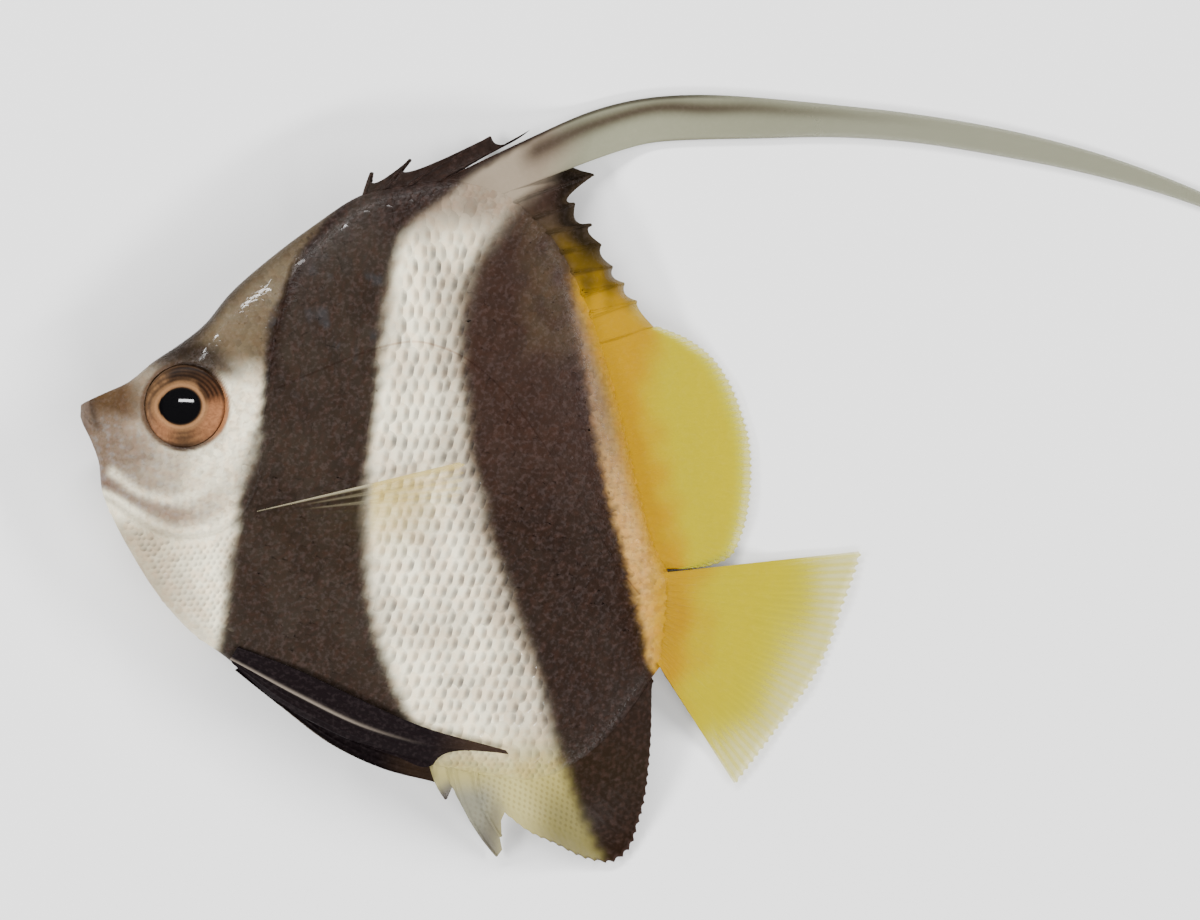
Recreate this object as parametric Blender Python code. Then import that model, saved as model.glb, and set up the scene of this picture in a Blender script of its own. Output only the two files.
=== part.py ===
"""A young longfin bannerfish at life size, freshly caught, lying on its right side on a table.

Sizes are in millimetres on the fish's own plan: x runs from the snout tip towards the tail, y from the mouth
up towards the back, and z up from the table. The left flank faces up.
"""

import math

import bmesh
import bpy
import numpy as np
from mathutils import Vector

MM = 0.001
PLAN_CENTRE = (62.95, -6.95)  # middle of the whole outline, which the origin lies under

GAP = 0.3  # left between neighbouring pieces
FIN_EDGE = 0.5  # half thickness of the back and belly ridge that the fins stand on
WEB = 0.25  # half thickness of a fin's membrane
RAY_RIDGE = 0.12  # how far a ray stands out of the membrane on each face
SPINE_RIDGE = 0.18  # the same for a stiff spine
FIN_CREASE = 12  # degrees above which a fin's edges are sharp, so that its rays show
FIN_TIP = 0.6  # share of a fin's thickness that is left at its margin
FIN_ROOT_RUN = 2.0  # distance over which a fin thins out from its fleshy root
FIN_THINNING = 0.25  # share of a fin's length over which it thins out to its margin
RAY_FADE = (1.15, 0.5)  # share at which a ray's ridge would be gone, and the shares over which it goes
OUTLINE_START, OUTLINE_STEPS = 0.2, 900  # stretch of the body and points on it on which fins find their roots
MID_HEIGHT = 4.55  # the body's middle plane above the table
TAIL_DROOP = 2.0  # how far that plane sinks towards the tail
TAIL_DROOP_ALONG = (36.0, 24.0)  # where along x it starts to sink, and over which length
BODY_EDGE = 0.7  # largest share of the half width that the body's edge keeps as thickness
RELIEF_FADE = 0.08  # share of the body's depth over which the head's relief fades at the outline
DROOP_RUN = 10.5  # distance over which a fin sinks from its root to the table
FLOOR_REST = WEB + RAY_RIDGE  # height of a fin's middle where it lies on the table
FLAT_BLEND = 0.35  # rounding where the right flank goes over into its flat
PRESSED_FIN = 0.8  # height that the right flank keeps over the fin under it
PRESSED_EDGE = 0.22  # width of the rim round that place, as a share of its size

# One row for each station line of the body: back point, belly point, half width, fullness, widest height.
# Fullness is the power of the section's curve (0.5 is an ellipse), the widest height a share from the belly.
STATIONS = (
    ((0.0, 0.0), (-0.05, -1.15), 0.55, 0.45, 0.50),
    ((0.4, 0.25), (0.2, -1.85), 0.95, 0.45, 0.50),
    ((0.9, 0.5), (0.5, -2.45), 0.9, 0.45, 0.50),
    ((2.3, 1.15), (1.0, -3.5), 1.35, 0.45, 0.50),
    ((4.3, 2.05), (1.65, -5.3), 2.1, 0.45, 0.50),
    ((6.9, 4.1), (2.05, -8.3), 2.7, 0.45, 0.52),
    ((9.3, 5.7), (3.3, -11.3), 3.25, 0.45, 0.54),
    ((11.7, 7.6), (4.95, -14.35), 3.7, 0.46, 0.55),
    ((14.1, 10.5), (7.0, -17.6), 4.15, 0.50, 0.53),
    ((18.0, 13.95), (10.3, -21.4), 4.75, 0.58, 0.50),
    ((22.2, 17.1), (13.8, -24.0), 5.15, 0.63, 0.49),
    ((26.6, 19.9), (18.5, -27.9), 5.35, 0.68, 0.48),
    ((31.5, 20.9), (24.6, -31.3), 5.25, 0.73, 0.48),
    ((36.5, 21.2), (31.0, -33.4), 4.85, 0.77, 0.48),
    ((41.2, 19.5), (37.4, -35.0), 4.3, 0.78, 0.48),
    ((45.2, 15.4), (43.2, -35.6), 3.7, 0.78, 0.49),
    ((48.6, 8.2), (47.6, -33.7), 3.1, 0.76, 0.50),
    ((51.0, 0.4), (50.6, -31.0), 2.55, 0.70, 0.50),
    ((53.0, -8.2), (52.9, -28.0), 2.1, 0.62, 0.50),
    ((54.6, -13.8), (54.2, -26.0), 1.75, 0.52, 0.50),
    ((55.8, -15.9), (55.0, -24.9), 1.5, 0.50, 0.50),
)
SNOUT_ROWS = 4  # stations at the snout that are rows of the loft as they stand
BODY_ALONG = 38  # rows behind them
BODY_EASE = 1.2  # above 1 the rows lie closer towards the head
BODY_ACROSS = 25

# Rear edge of the gill cover, from above the nape to the throat; the head is cut from the trunk along it.
GILL_EDGE = (
    (22.3, 19.5), (20.7, 15.5), (19.2, 10.0), (18.2, 5.0), (17.5, 0.5), (17.2, -4.0), (16.5, -8.3),
    (14.7, -10.9), (12.2, -12.2), (9.5, -12.5), (6.8, -11.7), (4.4, -10.2), (2.6, -9.1), (0.6, -8.5),
)
GILL_COVER_RISE = 0.22
GILL_COVER_FADE = 1.6
TAIL_CUT = ((55.6, -8.8), (53.0, -12.0), (51.8, -17.0), (51.4, -23.0), (51.5, -33.0))

EYE_AT = (9.94, -0.12)
EYE_RADIUS = 3.95
EYE_DOME = 0.62
EYE_DEPTH = 2.3
EYE_SINK = 0.42
EYE_REACH = 3.3  # distance from the eye's middle over which the slope of the head is taken
ORBIT_RIM = 0.14
ORBIT_SPREAD = 1.2

MOUTH_CORNER = (1.0, -1.5)
MOUTH_FRONT = (-0.5, -0.3)
MOUTH_OPENING = 0.35
NOSTRILS = ((4.35, 0.9), (5.15, 1.25))
NOSTRIL_RADIUS = 0.3

# Spines of the back fin: root, tip, and the notch in the membrane behind it.
DORSAL_SPINES = (
    ((26.9, 20.3), (27.65, 22.05), (28.1, 21.1)),
    ((28.9, 20.8), (31.3, 23.3), (31.5, 22.2)),
    ((31.3, 21.2), (38.9, 25.5), (39.6, 24.6)),
)
STREAMER_ROOT = ((34.2, 21.5), (40.3, 20.2))  # ends of the streamer's broad root, its long spine in front
STREAMER_NOTCH = ((41.0, 19.9), (47.4, 22.3))
REAR_SPINES = (
    ((41.6, 19.6), (48.7, 21.9), (46.3, 19.8)),
    ((43.3, 17.9), (46.9, 19.1), (47.0, 17.5)),
    ((44.6, 16.5), (48.5, 17.1), (48.2, 16.4)),
    ((45.8, 14.6), (49.4, 15.2), (49.4, 14.2)),
    ((46.8, 12.6), (50.5, 13.1), (50.5, 12.2)),
    ((47.7, 10.6), (51.6, 11.5), (51.7, 10.5)),
    ((48.5, 8.6), (52.8, 9.8), (53.1, 8.9)),
)
LAST_SPINE = ((49.2, 6.5), (54.4, 8.0))
SPINE_WIDTH = 0.3

SOFT_DORSAL_ROOT = (6.1, -15.2)  # heights on the back ridge between which it grows
SOFT_DORSAL_MARGIN = (
    (54.8, 7.5), (57.9, 6.2), (60.0, 4.6), (61.7, 2.2), (62.8, -0.5), (63.6, -3.3), (63.8, -6.2),
    (63.6, -9.3), (63.0, -12.0), (61.8, -14.1), (59.8, -14.95), (57.0, -15.35),
)
SOFT_DORSAL_RAYS = 25

CAUDAL_MARGIN = (
    (74.3, -13.9), (73.7, -16.0), (72.5, -19.2), (71.3, -22.8), (69.5, -26.4), (67.4, -29.3),
    (65.1, -32.4), (62.2, -36.2),
)
CAUDAL_RAYS = 17

ANAL_SPINES = (
    ((33.6, -34.2), (34.7, -37.4), (35.4, -36.0)),
    ((35.6, -34.9), (39.5, -42.9), (40.0, -42.3)),
    ((37.6, -35.3), (39.9, -41.0), (39.9, -39.5)),
)
ANAL_SPINE_BOW = -0.07  # how far the spines bend forwards, as a share of their length
ANAL_ROOT = (39.0, 53.4)  # places along x on the belly ridge between which the soft rays grow
ANAL_MARGIN = (
    (40.3, -38.8), (42.6, -40.6), (45.1, -41.8), (48.3, -43.3), (50.7, -43.5), (52.2, -42.2),
    (52.9, -40.2), (53.6, -37.5), (54.0, -34.2), (54.2, -30.5), (54.1, -27.6),
)
ANAL_RAYS = 17

PECTORAL_ROOT = ((17.5, -9.9), (18.7, -12.7))
PECTORAL_MARGIN = ((36.6, -5.3), (36.2, -8.3), (34.2, -12.0), (30.6, -15.2), (26.3, -16.4), (22.3, -15.6))
PECTORAL_RAYS = 15
PECTORAL_LIFT = 0.5
PECTORAL_LIFT_RUN = 20.0  # distance over which the breast fin rises that much off the flank
PRESSED_ZONE = ((26.8, -11.0), (12.2, 8.6), math.radians(12))  # centre, half axes and turn of the oval

LEFT_PELVIC_SPINE = ((14.3, -24.0), (20.7, -27.5), (27.0, -30.5), (33.0, -32.2), (40.6, -33.1))
LEFT_PELVIC_UPPER = ((14.9, -23.0), (20.7, -25.2), (26.0, -27.7), (32.0, -30.4), (40.4, -32.8))
RIGHT_PELVIC_OUTER = ((14.6, -25.2), (19.1, -28.8), (23.9, -32.4), (28.6, -34.6), (33.6, -35.9))
RIGHT_PELVIC_INNER = ((15.8, -24.4), (20.7, -27.4), (25.0, -29.8), (29.0, -31.3), (33.1, -32.6))
PELVIC_RAYS = 6
PELVIC_ROWS = 11
PELVIC_THINNING = 0.2
PELVIC_ROOT_DROP = 1.2  # how far under the middle plane the right belly fin starts
PELVIC_DROP = 3.2  # how far it sinks from there
PELVIC_DROP_RATE = 1.4

# Middle line of the streamer and its width, from the first cut to the tip.
STREAMER = (
    (48.5, 25.7, 4.5), (53.1, 27.0, 4.3), (58.8, 27.4, 4.3), (64.5, 27.3, 3.9), (70.3, 27.1, 3.2),
    (77.9, 26.5, 2.75), (87.4, 25.0, 2.6), (96.9, 22.8, 2.1), (106.4, 19.6, 1.35), (116.0, 15.0, 0.8),
    (126.0, 8.1, 0.35),
)
STREAMER_CUTS = (0.0, 0.32, 0.66, 1.0)
STREAMER_HALF = 0.3  # half thickness at its root; the tip has half of it
STREAMER_ROUND = 0.8  # above 0 its edges are thinner than its middle; 1 is an ellipse
STREAMER_ROWS, STREAMER_COLUMNS = 12, 5

COLOURS = {
    "pearl": ((0.72, 0.70, 0.66, 1.0), 0.35),
    "head_skin": ((0.55, 0.48, 0.40, 1.0), 0.35),
    "yellow_fin": ((0.90, 0.66, 0.03, 1.0), 0.4),
    "dark_fin": ((0.05, 0.035, 0.03, 1.0), 0.4),
    "grey_streamer": ((0.50, 0.50, 0.46, 1.0), 0.4),
    "clear_fin": ((0.66, 0.58, 0.30, 1.0), 0.4),
    "eye": ((0.42, 0.24, 0.14, 1.0), 0.1),
}


def clear_scene():
    for obj in list(bpy.data.objects):
        bpy.data.objects.remove(obj, do_unlink=True)


def material(slot):
    """The material of that name, made on its first use."""
    if slot in bpy.data.materials:
        return bpy.data.materials[slot]
    colour, roughness = COLOURS[slot]
    made = bpy.data.materials.new(slot)
    made.use_nodes = True
    shader = made.node_tree.nodes["Principled BSDF"]
    shader.inputs["Base Color"].default_value = colour
    shader.inputs["Roughness"].default_value = roughness
    shader.inputs["Metallic"].default_value = 0.0
    return made


def world(x, y, z):
    """Plan millimetres as metres about the origin."""
    return np.stack([(x - PLAN_CENTRE[0]) * MM, (y - PLAN_CENTRE[1]) * MM, z * MM], axis=-1)


def smooth(t):
    t = np.clip(t, 0.0, 1.0)
    return t * t * (3 - 2 * t)


def through(knots, values, at):
    """Cubic pieces through values at knots, each knot's slope coming from its two neighbours."""
    values = np.asarray(values, float)
    slopes = np.gradient(values, knots, axis=0)
    at = np.clip(at, knots[0], knots[-1])
    i = np.clip(np.searchsorted(knots, at, side="right") - 1, 0, len(knots) - 2)
    width = (knots[i + 1] - knots[i]).reshape(at.shape + (1,) * (values.ndim - 1))
    t = (at - knots[i]).reshape(width.shape) / width
    return (
        (2 * t**3 - 3 * t**2 + 1) * values[i]
        + (t**3 - 2 * t**2 + t) * width * slopes[i]
        + (3 * t**2 - 2 * t**3) * values[i + 1]
        + (t**3 - t**2) * width * slopes[i + 1]
    )


def flowing(points, at):
    """A smooth curve through points, at shares from 0 to 1 of its chord length."""
    points = np.asarray(points, float)
    steps = np.linalg.norm(np.diff(points[:, :2], axis=0), axis=1)
    knots = np.concatenate([[0.0], np.cumsum(steps)])
    return through(knots / knots[-1], points, np.asarray(at, float))


BACK = np.array([row[0] for row in STATIONS])
BELLY = np.array([row[1] for row in STATIONS])
SHAPE = np.array([row[2:] for row in STATIONS])


def station_knots():
    """Places of the stations from 0 to 1: the mean distance along the back and the belly."""
    steps = [np.linalg.norm(np.diff(side, axis=0), axis=1) for side in (BACK, BELLY)]
    along = np.concatenate([[0.0], np.cumsum(sum(steps) / 2)])
    return along / along[-1]


KNOTS = station_knots()


def back_line(s):
    return through(KNOTS, BACK, s)


def belly_line(s):
    return through(KNOTS, BELLY, s)


def from_curve(curve, x, y):
    """Distance of points from a curve, and the side of it that they lie on."""
    line = flowing(curve, np.linspace(0, 1, 160))
    a, b = line[:-1], line[1:]
    run = b - a
    p = np.stack([x, y], axis=-1)[..., None, :]
    t = np.clip(((p - a) * run).sum(-1) / (run**2).sum(-1), 0, 1)
    off = p - (a + t[..., None] * run)
    distance = np.linalg.norm(off, axis=-1)
    nearest = distance.argmin(-1)[..., None]
    side = run[..., 0] * off[..., 1] - run[..., 1] * off[..., 0]
    pick = np.take_along_axis
    return pick(distance, nearest, -1)[..., 0], np.sign(pick(side, nearest, -1)[..., 0])


def half_thickness(s, v):
    """Half thickness of the body at station s and height v, both from 0 to 1."""
    width, fullness, widest = np.moveaxis(through(KNOTS, SHAPE, s), -1, 0)
    lifted = v ** (np.log(0.5) / np.log(widest))
    section = np.clip(4 * lifted * (1 - lifted), 0, 1) ** fullness
    edge = np.minimum(FIN_EDGE, width * BODY_EDGE)
    return edge + (width - edge) * section


def head_relief(x, y, share):
    """Swellings of the head: the gill cover's edge and the orbit's rim; share fades them at the outline."""
    distance, side = from_curve(GILL_EDGE, x, y)
    cover = np.where(side < 0, smooth(1 - distance / GILL_COVER_FADE), 0) * GILL_COVER_RISE
    from_eye = np.hypot(x - EYE_AT[0], y - EYE_AT[1]) - EYE_RADIUS
    rim = ORBIT_RIM * np.exp(-((np.maximum(from_eye, 0) / ORBIT_SPREAD) ** 2))
    return (cover + rim) * share


def middle_height(x):
    start, length = TAIL_DROOP_ALONG
    return MID_HEIGHT - TAIL_DROOP * smooth((x - start) / length)


def resting_level(x, y):
    """Lowest height of the right flank: the table, or the fin pressed under it."""
    (cx, cy), (long_axis, short_axis), turn = PRESSED_ZONE
    along = (x - cx) * math.cos(turn) + (y - cy) * math.sin(turn)
    across = (y - cy) * math.cos(turn) - (x - cx) * math.sin(turn)
    share = np.hypot(along / long_axis, across / short_axis)
    return PRESSED_FIN * smooth((1 + PRESSED_EDGE - share) / PRESSED_EDGE)


def pressed(height, level):
    """The larger of height and level, with a parabola of FLAT_BLEND between them."""
    rise = height - level
    blend = (rise + FLAT_BLEND) ** 2 / (4 * FLAT_BLEND)
    return level + np.where(rise < -FLAT_BLEND, 0, np.where(rise > FLAT_BLEND, rise, blend))


def body_at(s, v):
    """Plan place, upper height and lower height of the skin at station s and height v."""
    belly, back = belly_line(s), back_line(s)
    x, y = np.moveaxis(belly + (back - belly) * v[..., None], -1, 0)
    half = half_thickness(s, v) + head_relief(x, y, smooth(np.minimum(v, 1 - v) / RELIEF_FADE))
    middle = middle_height(x)
    return x, y, middle + half, pressed(middle - half, resting_level(x, y))


def station_of(x, y):
    """Station and height of plan points, by halving the stretch in which the station line must lie."""
    low, high = np.zeros_like(x), np.ones_like(x)
    point = np.stack([x, y], axis=-1)
    for _ in range(30):
        s = (low + high) / 2
        belly = belly_line(s)
        line, off = back_line(s) - belly, point - belly
        ahead = line[..., 0] * off[..., 1] - line[..., 1] * off[..., 0] < 0
        low, high = np.where(ahead, s, low), np.where(ahead, high, s)
    return s, (line * off).sum(-1) / (line**2).sum(-1)


def body_faces(x, y):
    """Upper and lower height of the skin at plan points; past the outline, those of its edge."""
    s, v = station_of(x, y)
    _, _, top, bottom = body_at(s, np.clip(v, 0, 1))
    return top, bottom


def loft(name, upper, lower, slot, crease=40):
    """A closed solid between two grids of points, split into triangles alike, with walls round the border."""
    rows, columns = upper.shape[:2]
    index = np.arange(rows * columns).reshape(rows, columns)
    a, b, c, d = index[:-1, :-1], index[1:, :-1], index[1:, 1:], index[:-1, 1:]
    faces = np.stack([np.stack([a, b, c], -1), np.stack([a, c, d], -1)], -2).reshape(-1, 3)
    border = np.concatenate([index[0], index[1:, -1], index[-1, -2::-1], index[-2:0:-1, 0]])
    ahead = np.roll(border, -1)
    far = rows * columns
    walls = np.concatenate(
        [np.stack([border, ahead, ahead + far], -1), np.stack([border, ahead + far, border + far], -1)]
    )
    points = np.concatenate([upper.reshape(-1, 3), lower.reshape(-1, 3)])
    triangles = np.concatenate([faces, faces[:, ::-1] + far, walls])
    mesh = bpy.data.meshes.new(name)
    mesh.from_pydata(points.tolist(), [], triangles.tolist())
    return place(name, mesh, slot, crease)


def place(name, mesh, slot, crease=40):
    """Makes the mesh a node in the fish's collection, facing out and smooth up to the crease's degrees."""
    shell = bmesh.new()
    shell.from_mesh(mesh)
    bmesh.ops.recalc_face_normals(shell, faces=shell.faces)
    if shell.calc_volume(signed=True) < 0:
        bmesh.ops.reverse_faces(shell, faces=shell.faces)
    shell.to_mesh(mesh)
    shell.free()
    mesh.shade_smooth()
    mesh.set_sharp_from_angle(angle=math.radians(crease))
    mesh.materials.clear()
    mesh.materials.append(material(slot))
    obj = bpy.data.objects.new(name, mesh)
    FISH.objects.link(obj)
    return obj


def evaluated(obj):
    """A mesh copy of the object as its modifiers leave it, with loose caps welded."""
    graph = bpy.context.evaluated_depsgraph_get()
    mesh = bpy.data.meshes.new_from_object(obj.evaluated_get(graph))
    shell = bmesh.new()
    shell.from_mesh(mesh)
    bmesh.ops.remove_doubles(shell, verts=shell.verts, dist=1e-7)
    shell.to_mesh(mesh)
    shell.free()
    return mesh


def as_cutter(obj):
    obj.hide_render = True
    obj.display_type = "WIRE"
    for holder in list(obj.users_collection):
        holder.objects.unlink(obj)
    CUTTERS.objects.link(obj)
    return obj


def outline_cutter(name, outline, reach=25.0):
    """A flat closed outline made a wall that passes through the whole body."""
    flat = bpy.data.curves.new(name, "CURVE")
    flat.dimensions = "2D"
    flat.fill_mode = "BOTH"
    flat.extrude = reach * MM
    spline = flat.splines.new("POLY")
    spline.points.add(len(outline) - 1)
    for point, (x, y) in zip(spline.points, outline):
        point.co = (*world(x, y, 0.0), 1.0)
    spline.use_cyclic_u = True
    drawn = bpy.data.objects.new(name + "_outline", flat)
    CUTTERS.objects.link(drawn)
    wall = bpy.data.objects.new(name, evaluated(drawn))
    bpy.data.objects.remove(drawn)
    CUTTERS.objects.link(wall)
    return as_cutter(wall)


def ribbon_cutter(name, curve, steps=36):
    """A wall as thick as the gap that follows a curve."""
    line = flowing(curve, np.linspace(0, 1, steps))
    run = np.gradient(line, axis=0)
    across = np.stack([-run[:, 1], run[:, 0]], -1) / np.linalg.norm(run, axis=1)[:, None]
    sides = np.concatenate([line + across * GAP / 2, (line - across * GAP / 2)[::-1]])
    return outline_cutter(name, sides)


def cut(obj, cutter):
    """Takes the cutter out of the object and keeps the result as its mesh."""
    modifier = obj.modifiers.new(cutter.name, "BOOLEAN")
    modifier.operation = "DIFFERENCE"
    modifier.solver = "EXACT"
    modifier.object = cutter
    mesh = evaluated(obj)
    obj.modifiers.clear()
    obj.data = mesh


def closed_pieces(mesh):
    """The mesh's separate closed surfaces, largest first, as (volume, mean x, mesh)."""
    shell = bmesh.new()
    shell.from_mesh(mesh)
    shell.verts.ensure_lookup_table()
    left = set(range(len(shell.verts)))
    found = []
    while left:
        queue, members = [left.pop()], set()
        while queue:
            here = queue.pop()
            members.add(here)
            for edge in shell.verts[here].link_edges:
                other = edge.other_vert(shell.verts[here]).index
                if other in left:
                    left.discard(other)
                    queue.append(other)
        piece = shell.copy()
        piece.verts.ensure_lookup_table()
        others = [v for v in piece.verts if v.index not in members]
        bmesh.ops.delete(piece, geom=others, context="VERTS")
        volume = abs(piece.calc_volume())
        mean_x = sum(v.co.x for v in piece.verts) / len(piece.verts)
        part = bpy.data.meshes.new(mesh.name)
        piece.to_mesh(part)
        piece.free()
        found.append((volume, mean_x, part))
    shell.free()
    return sorted(found, key=lambda item: -item[0])


def keep_largest(obj):
    obj.data = closed_pieces(obj.data)[0][2]


def body():
    """Head, trunk and tail stalk: one loft over the station lines, parted by two thin cuts."""
    behind = np.linspace(0, 1, BODY_ALONG + 1)[1:] ** BODY_EASE
    start = KNOTS[SNOUT_ROWS - 1]
    along = np.concatenate([KNOTS[:SNOUT_ROWS], start + (1 - start) * behind])
    even = np.linspace(0, 1, BODY_ACROSS)
    bunched = (1 - np.cos(even * math.pi)) / 2
    s, v = np.meshgrid(along, bunched * 0.75 + even * 0.25, indexing="ij")
    x, y, top, bottom = body_at(s, v)
    whole = loft("body", world(x, y, top), world(x, y, bottom), "pearl")
    cut(whole, ribbon_cutter("gill_cut", GILL_EDGE))
    cut(whole, ribbon_cutter("tail_cut", TAIL_CUT, steps=12))
    pieces = sorted(closed_pieces(whole.data)[:3], key=lambda item: item[1])
    bpy.data.objects.remove(whole)
    names = (("head", "head_skin"), ("trunk", "pearl"), ("tail_stalk", "pearl"))
    return [place(name, piece[2], slot) for (name, slot), piece in zip(names, pieces)]


def eyeball(name, side, growth, dome, depth):
    """A round eye: a shallow dome outside and a deeper half ellipsoid inside. side is 1 for the left.

    Its axis stands square to the skin round it, and the right eye mirrors the left.
    """
    x0, y0 = EYE_AT
    round_eye = np.array([x0, y0]) + EYE_REACH * np.array([[1, 0], [-1, 0], [0, 1], [0, -1]])
    behind, before, over, under = body_faces(*round_eye.T)[0] - MID_HEIGHT
    slope_x, slope_y = (behind - before) / 2 / EYE_REACH, (over - under) / 2 / EYE_REACH
    axis = Vector((-slope_x, -slope_y, 1.0)).normalized()
    ahead = Vector((1.0, 0.0, slope_x)).normalized()
    above = axis.cross(ahead)
    middle = Vector((x0, y0, (behind + before + over + under) / 4 - EYE_SINK))
    ball = bmesh.new()
    bmesh.ops.create_uvsphere(ball, u_segments=24, v_segments=10, radius=1.0)
    for vertex in ball.verts:
        out = vertex.co.z * (dome if vertex.co.z > 0 else depth)
        flat = (ahead * vertex.co.x + above * vertex.co.y) * (EYE_RADIUS + growth)
        x, y, z = middle + flat + axis * out
        vertex.co = world(x, y, MID_HEIGHT + side * z)
    mesh = bpy.data.meshes.new(name)
    ball.to_mesh(mesh)
    ball.free()
    return place(name, mesh, "eye")


def eyes_and_sockets(head):
    for name, side in (("eye_left", 1), ("eye_right", -1)):
        eyeball(name, side, 0.0, EYE_DOME, EYE_DEPTH)
        socket = as_cutter(eyeball(name + "_socket", side, GAP, EYE_DOME + 2.0, EYE_DEPTH + GAP))
        cut(head, socket)


def mouth_and_nostrils(head):
    """The slit between the lips, a wedge that closes at the corner, and two pits before each eye."""
    (fx, fy), (cx, cy) = MOUTH_FRONT, MOUTH_CORNER
    half = MOUTH_OPENING / 2
    cut(head, outline_cutter("mouth_slit", ((fx, fy + half), (fx, fy - half), (cx, cy))))
    for x, y in NOSTRILS:
        top, bottom = body_faces(np.array([x]), np.array([y]))
        for label, z in (("left", float(top[0])), ("right", float(bottom[0]))):
            bpy.ops.mesh.primitive_ico_sphere_add(
                subdivisions=1, radius=NOSTRIL_RADIUS * MM, location=world(x, y, z)
            )
            pit = bpy.context.object
            pit.name = f"nostril_{label}"
            pit.data.transform(pit.matrix_world)
            pit.matrix_world.identity()
            cut(head, as_cutter(pit))
    keep_largest(head)


def sheet_normals(points):
    """Unit normals of a grid of points, all with z up."""
    normal = np.cross(np.gradient(points, axis=0), np.gradient(points, axis=1))
    normal *= np.sign(normal[..., 2:])
    return normal / np.linalg.norm(normal, axis=-1, keepdims=True)


def fin(name, root, tip, ridge, slot, rows, heights=None, root_half=FIN_EDGE, bow=0.0, left=FIN_TIP):
    """A fin as columns from root points to tip points.

    ridge adds to the half thickness of each column, bow bends a column by a share of its length, left is the
    share of its thickness at the margin. heights gives the middle height at plan points and runs; without it
    the fin sinks to the table.
    """
    share = np.linspace(0, 1, rows)[None, :]
    run = (tip - root)[:, None, :]
    across = np.stack([-run[..., 1], run[..., 0]], -1)
    bend = np.reshape(bow, (-1, 1)) * 4 * share * (1 - share)
    plan = root[:, None, :] + run * share[..., None] + across * bend[..., None]
    distance = np.linalg.norm(run, axis=-1) * share
    x, y = plan[..., 0], plan[..., 1]
    if heights is None:
        start = middle_height(root[:, 0])[:, None]
        z = start - (start - FLOOR_REST) * smooth(distance / DROOP_RUN)
    else:
        z = heights(x, y, distance)
    gone, fade = RAY_FADE
    thick = WEB + ridge[:, None] * smooth((gone - share) / fade)
    half = np.maximum(thick, root_half + (thick - root_half) * smooth(distance / FIN_ROOT_RUN))
    near_margin = smooth((share - (1 - FIN_THINNING)) / FIN_THINNING)
    half = half * (1 - (1 - np.reshape(left, (-1, 1))) * near_margin)
    middle = np.stack([x, y, z], -1)
    offset = sheet_normals(middle) * half[..., None]
    offset[:, 0] = np.stack([0 * half[:, 0], 0 * half[:, 0], half[:, 0]], -1)
    upper, lower = middle + offset, middle - offset
    lower[..., 2] = np.maximum(lower[..., 2], 0.0)
    faces = [world(*np.moveaxis(face, -1, 0)) for face in (upper, lower)]
    return loft(name, *faces, slot, FIN_CREASE)


def outward(line, sign):
    """Points of an outline moved out by the gap, across its own direction."""
    run = np.gradient(line, axis=0)
    across = np.stack([-run[:, 1], run[:, 0]], -1) / np.linalg.norm(run, axis=1)[:, None]
    return line + across * GAP * sign


def ridge_points(places, line, axis, sign):
    """Points just off the back or belly ridge where its x (axis 0) or y (axis 1) has the given values."""
    outline = outward(line(np.linspace(OUTLINE_START, 1, OUTLINE_STEPS)), sign)
    order = np.argsort(outline[:, axis])
    return np.stack([np.interp(places, outline[order, axis], outline[order, i]) for i in (0, 1)], -1)


def snapped(roots, sign, line):
    """Root points moved onto the line that runs one gap outside the ridge."""
    outline = outward(line(np.linspace(OUTLINE_START, 1, OUTLINE_STEPS)), sign)
    near = [outline[np.linalg.norm(outline - root, axis=1).argmin()] for root in np.asarray(roots)]
    return np.array(near)


def ray_columns(count):
    """Places from 0 to 1 of each ray and of the valley between two, and their ridges."""
    places = np.linspace(0, 1, 2 * count - 1)
    return places, np.where(np.arange(2 * count - 1) % 2 == 0, RAY_RIDGE, 0.0)


def spine_columns(root, tip, notch, next_root):
    """Four columns for a spine: its front, crest and rear, and the low point of the membrane behind it."""
    root, tip, notch, next_root = (np.array(p, float) for p in (root, tip, notch, next_root))
    run = (next_root - root) / np.linalg.norm(next_root - root)
    side = run * SPINE_WIDTH
    roots = [root - side, root, root + side, (root + next_root) / 2 + side / 2]
    tips = [tip - side * 0.5, tip, tip + side * 0.2, notch]
    return roots, tips, [0.0, SPINE_RIDGE, 0.0, 0.0]


def spine_row(spines, last_root):
    """Roots, tips and ridges of a row of spines; last_root is where the row's last membrane ends."""
    roots, tips, ridges = [], [], []
    following = [row[0] for row in spines[1:]] + [last_root]
    for row, next_root in zip(spines, following):
        for kept, new in zip((roots, tips, ridges), spine_columns(*row, next_root)):
            kept.extend(new)
    return roots, tips, ridges


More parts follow.
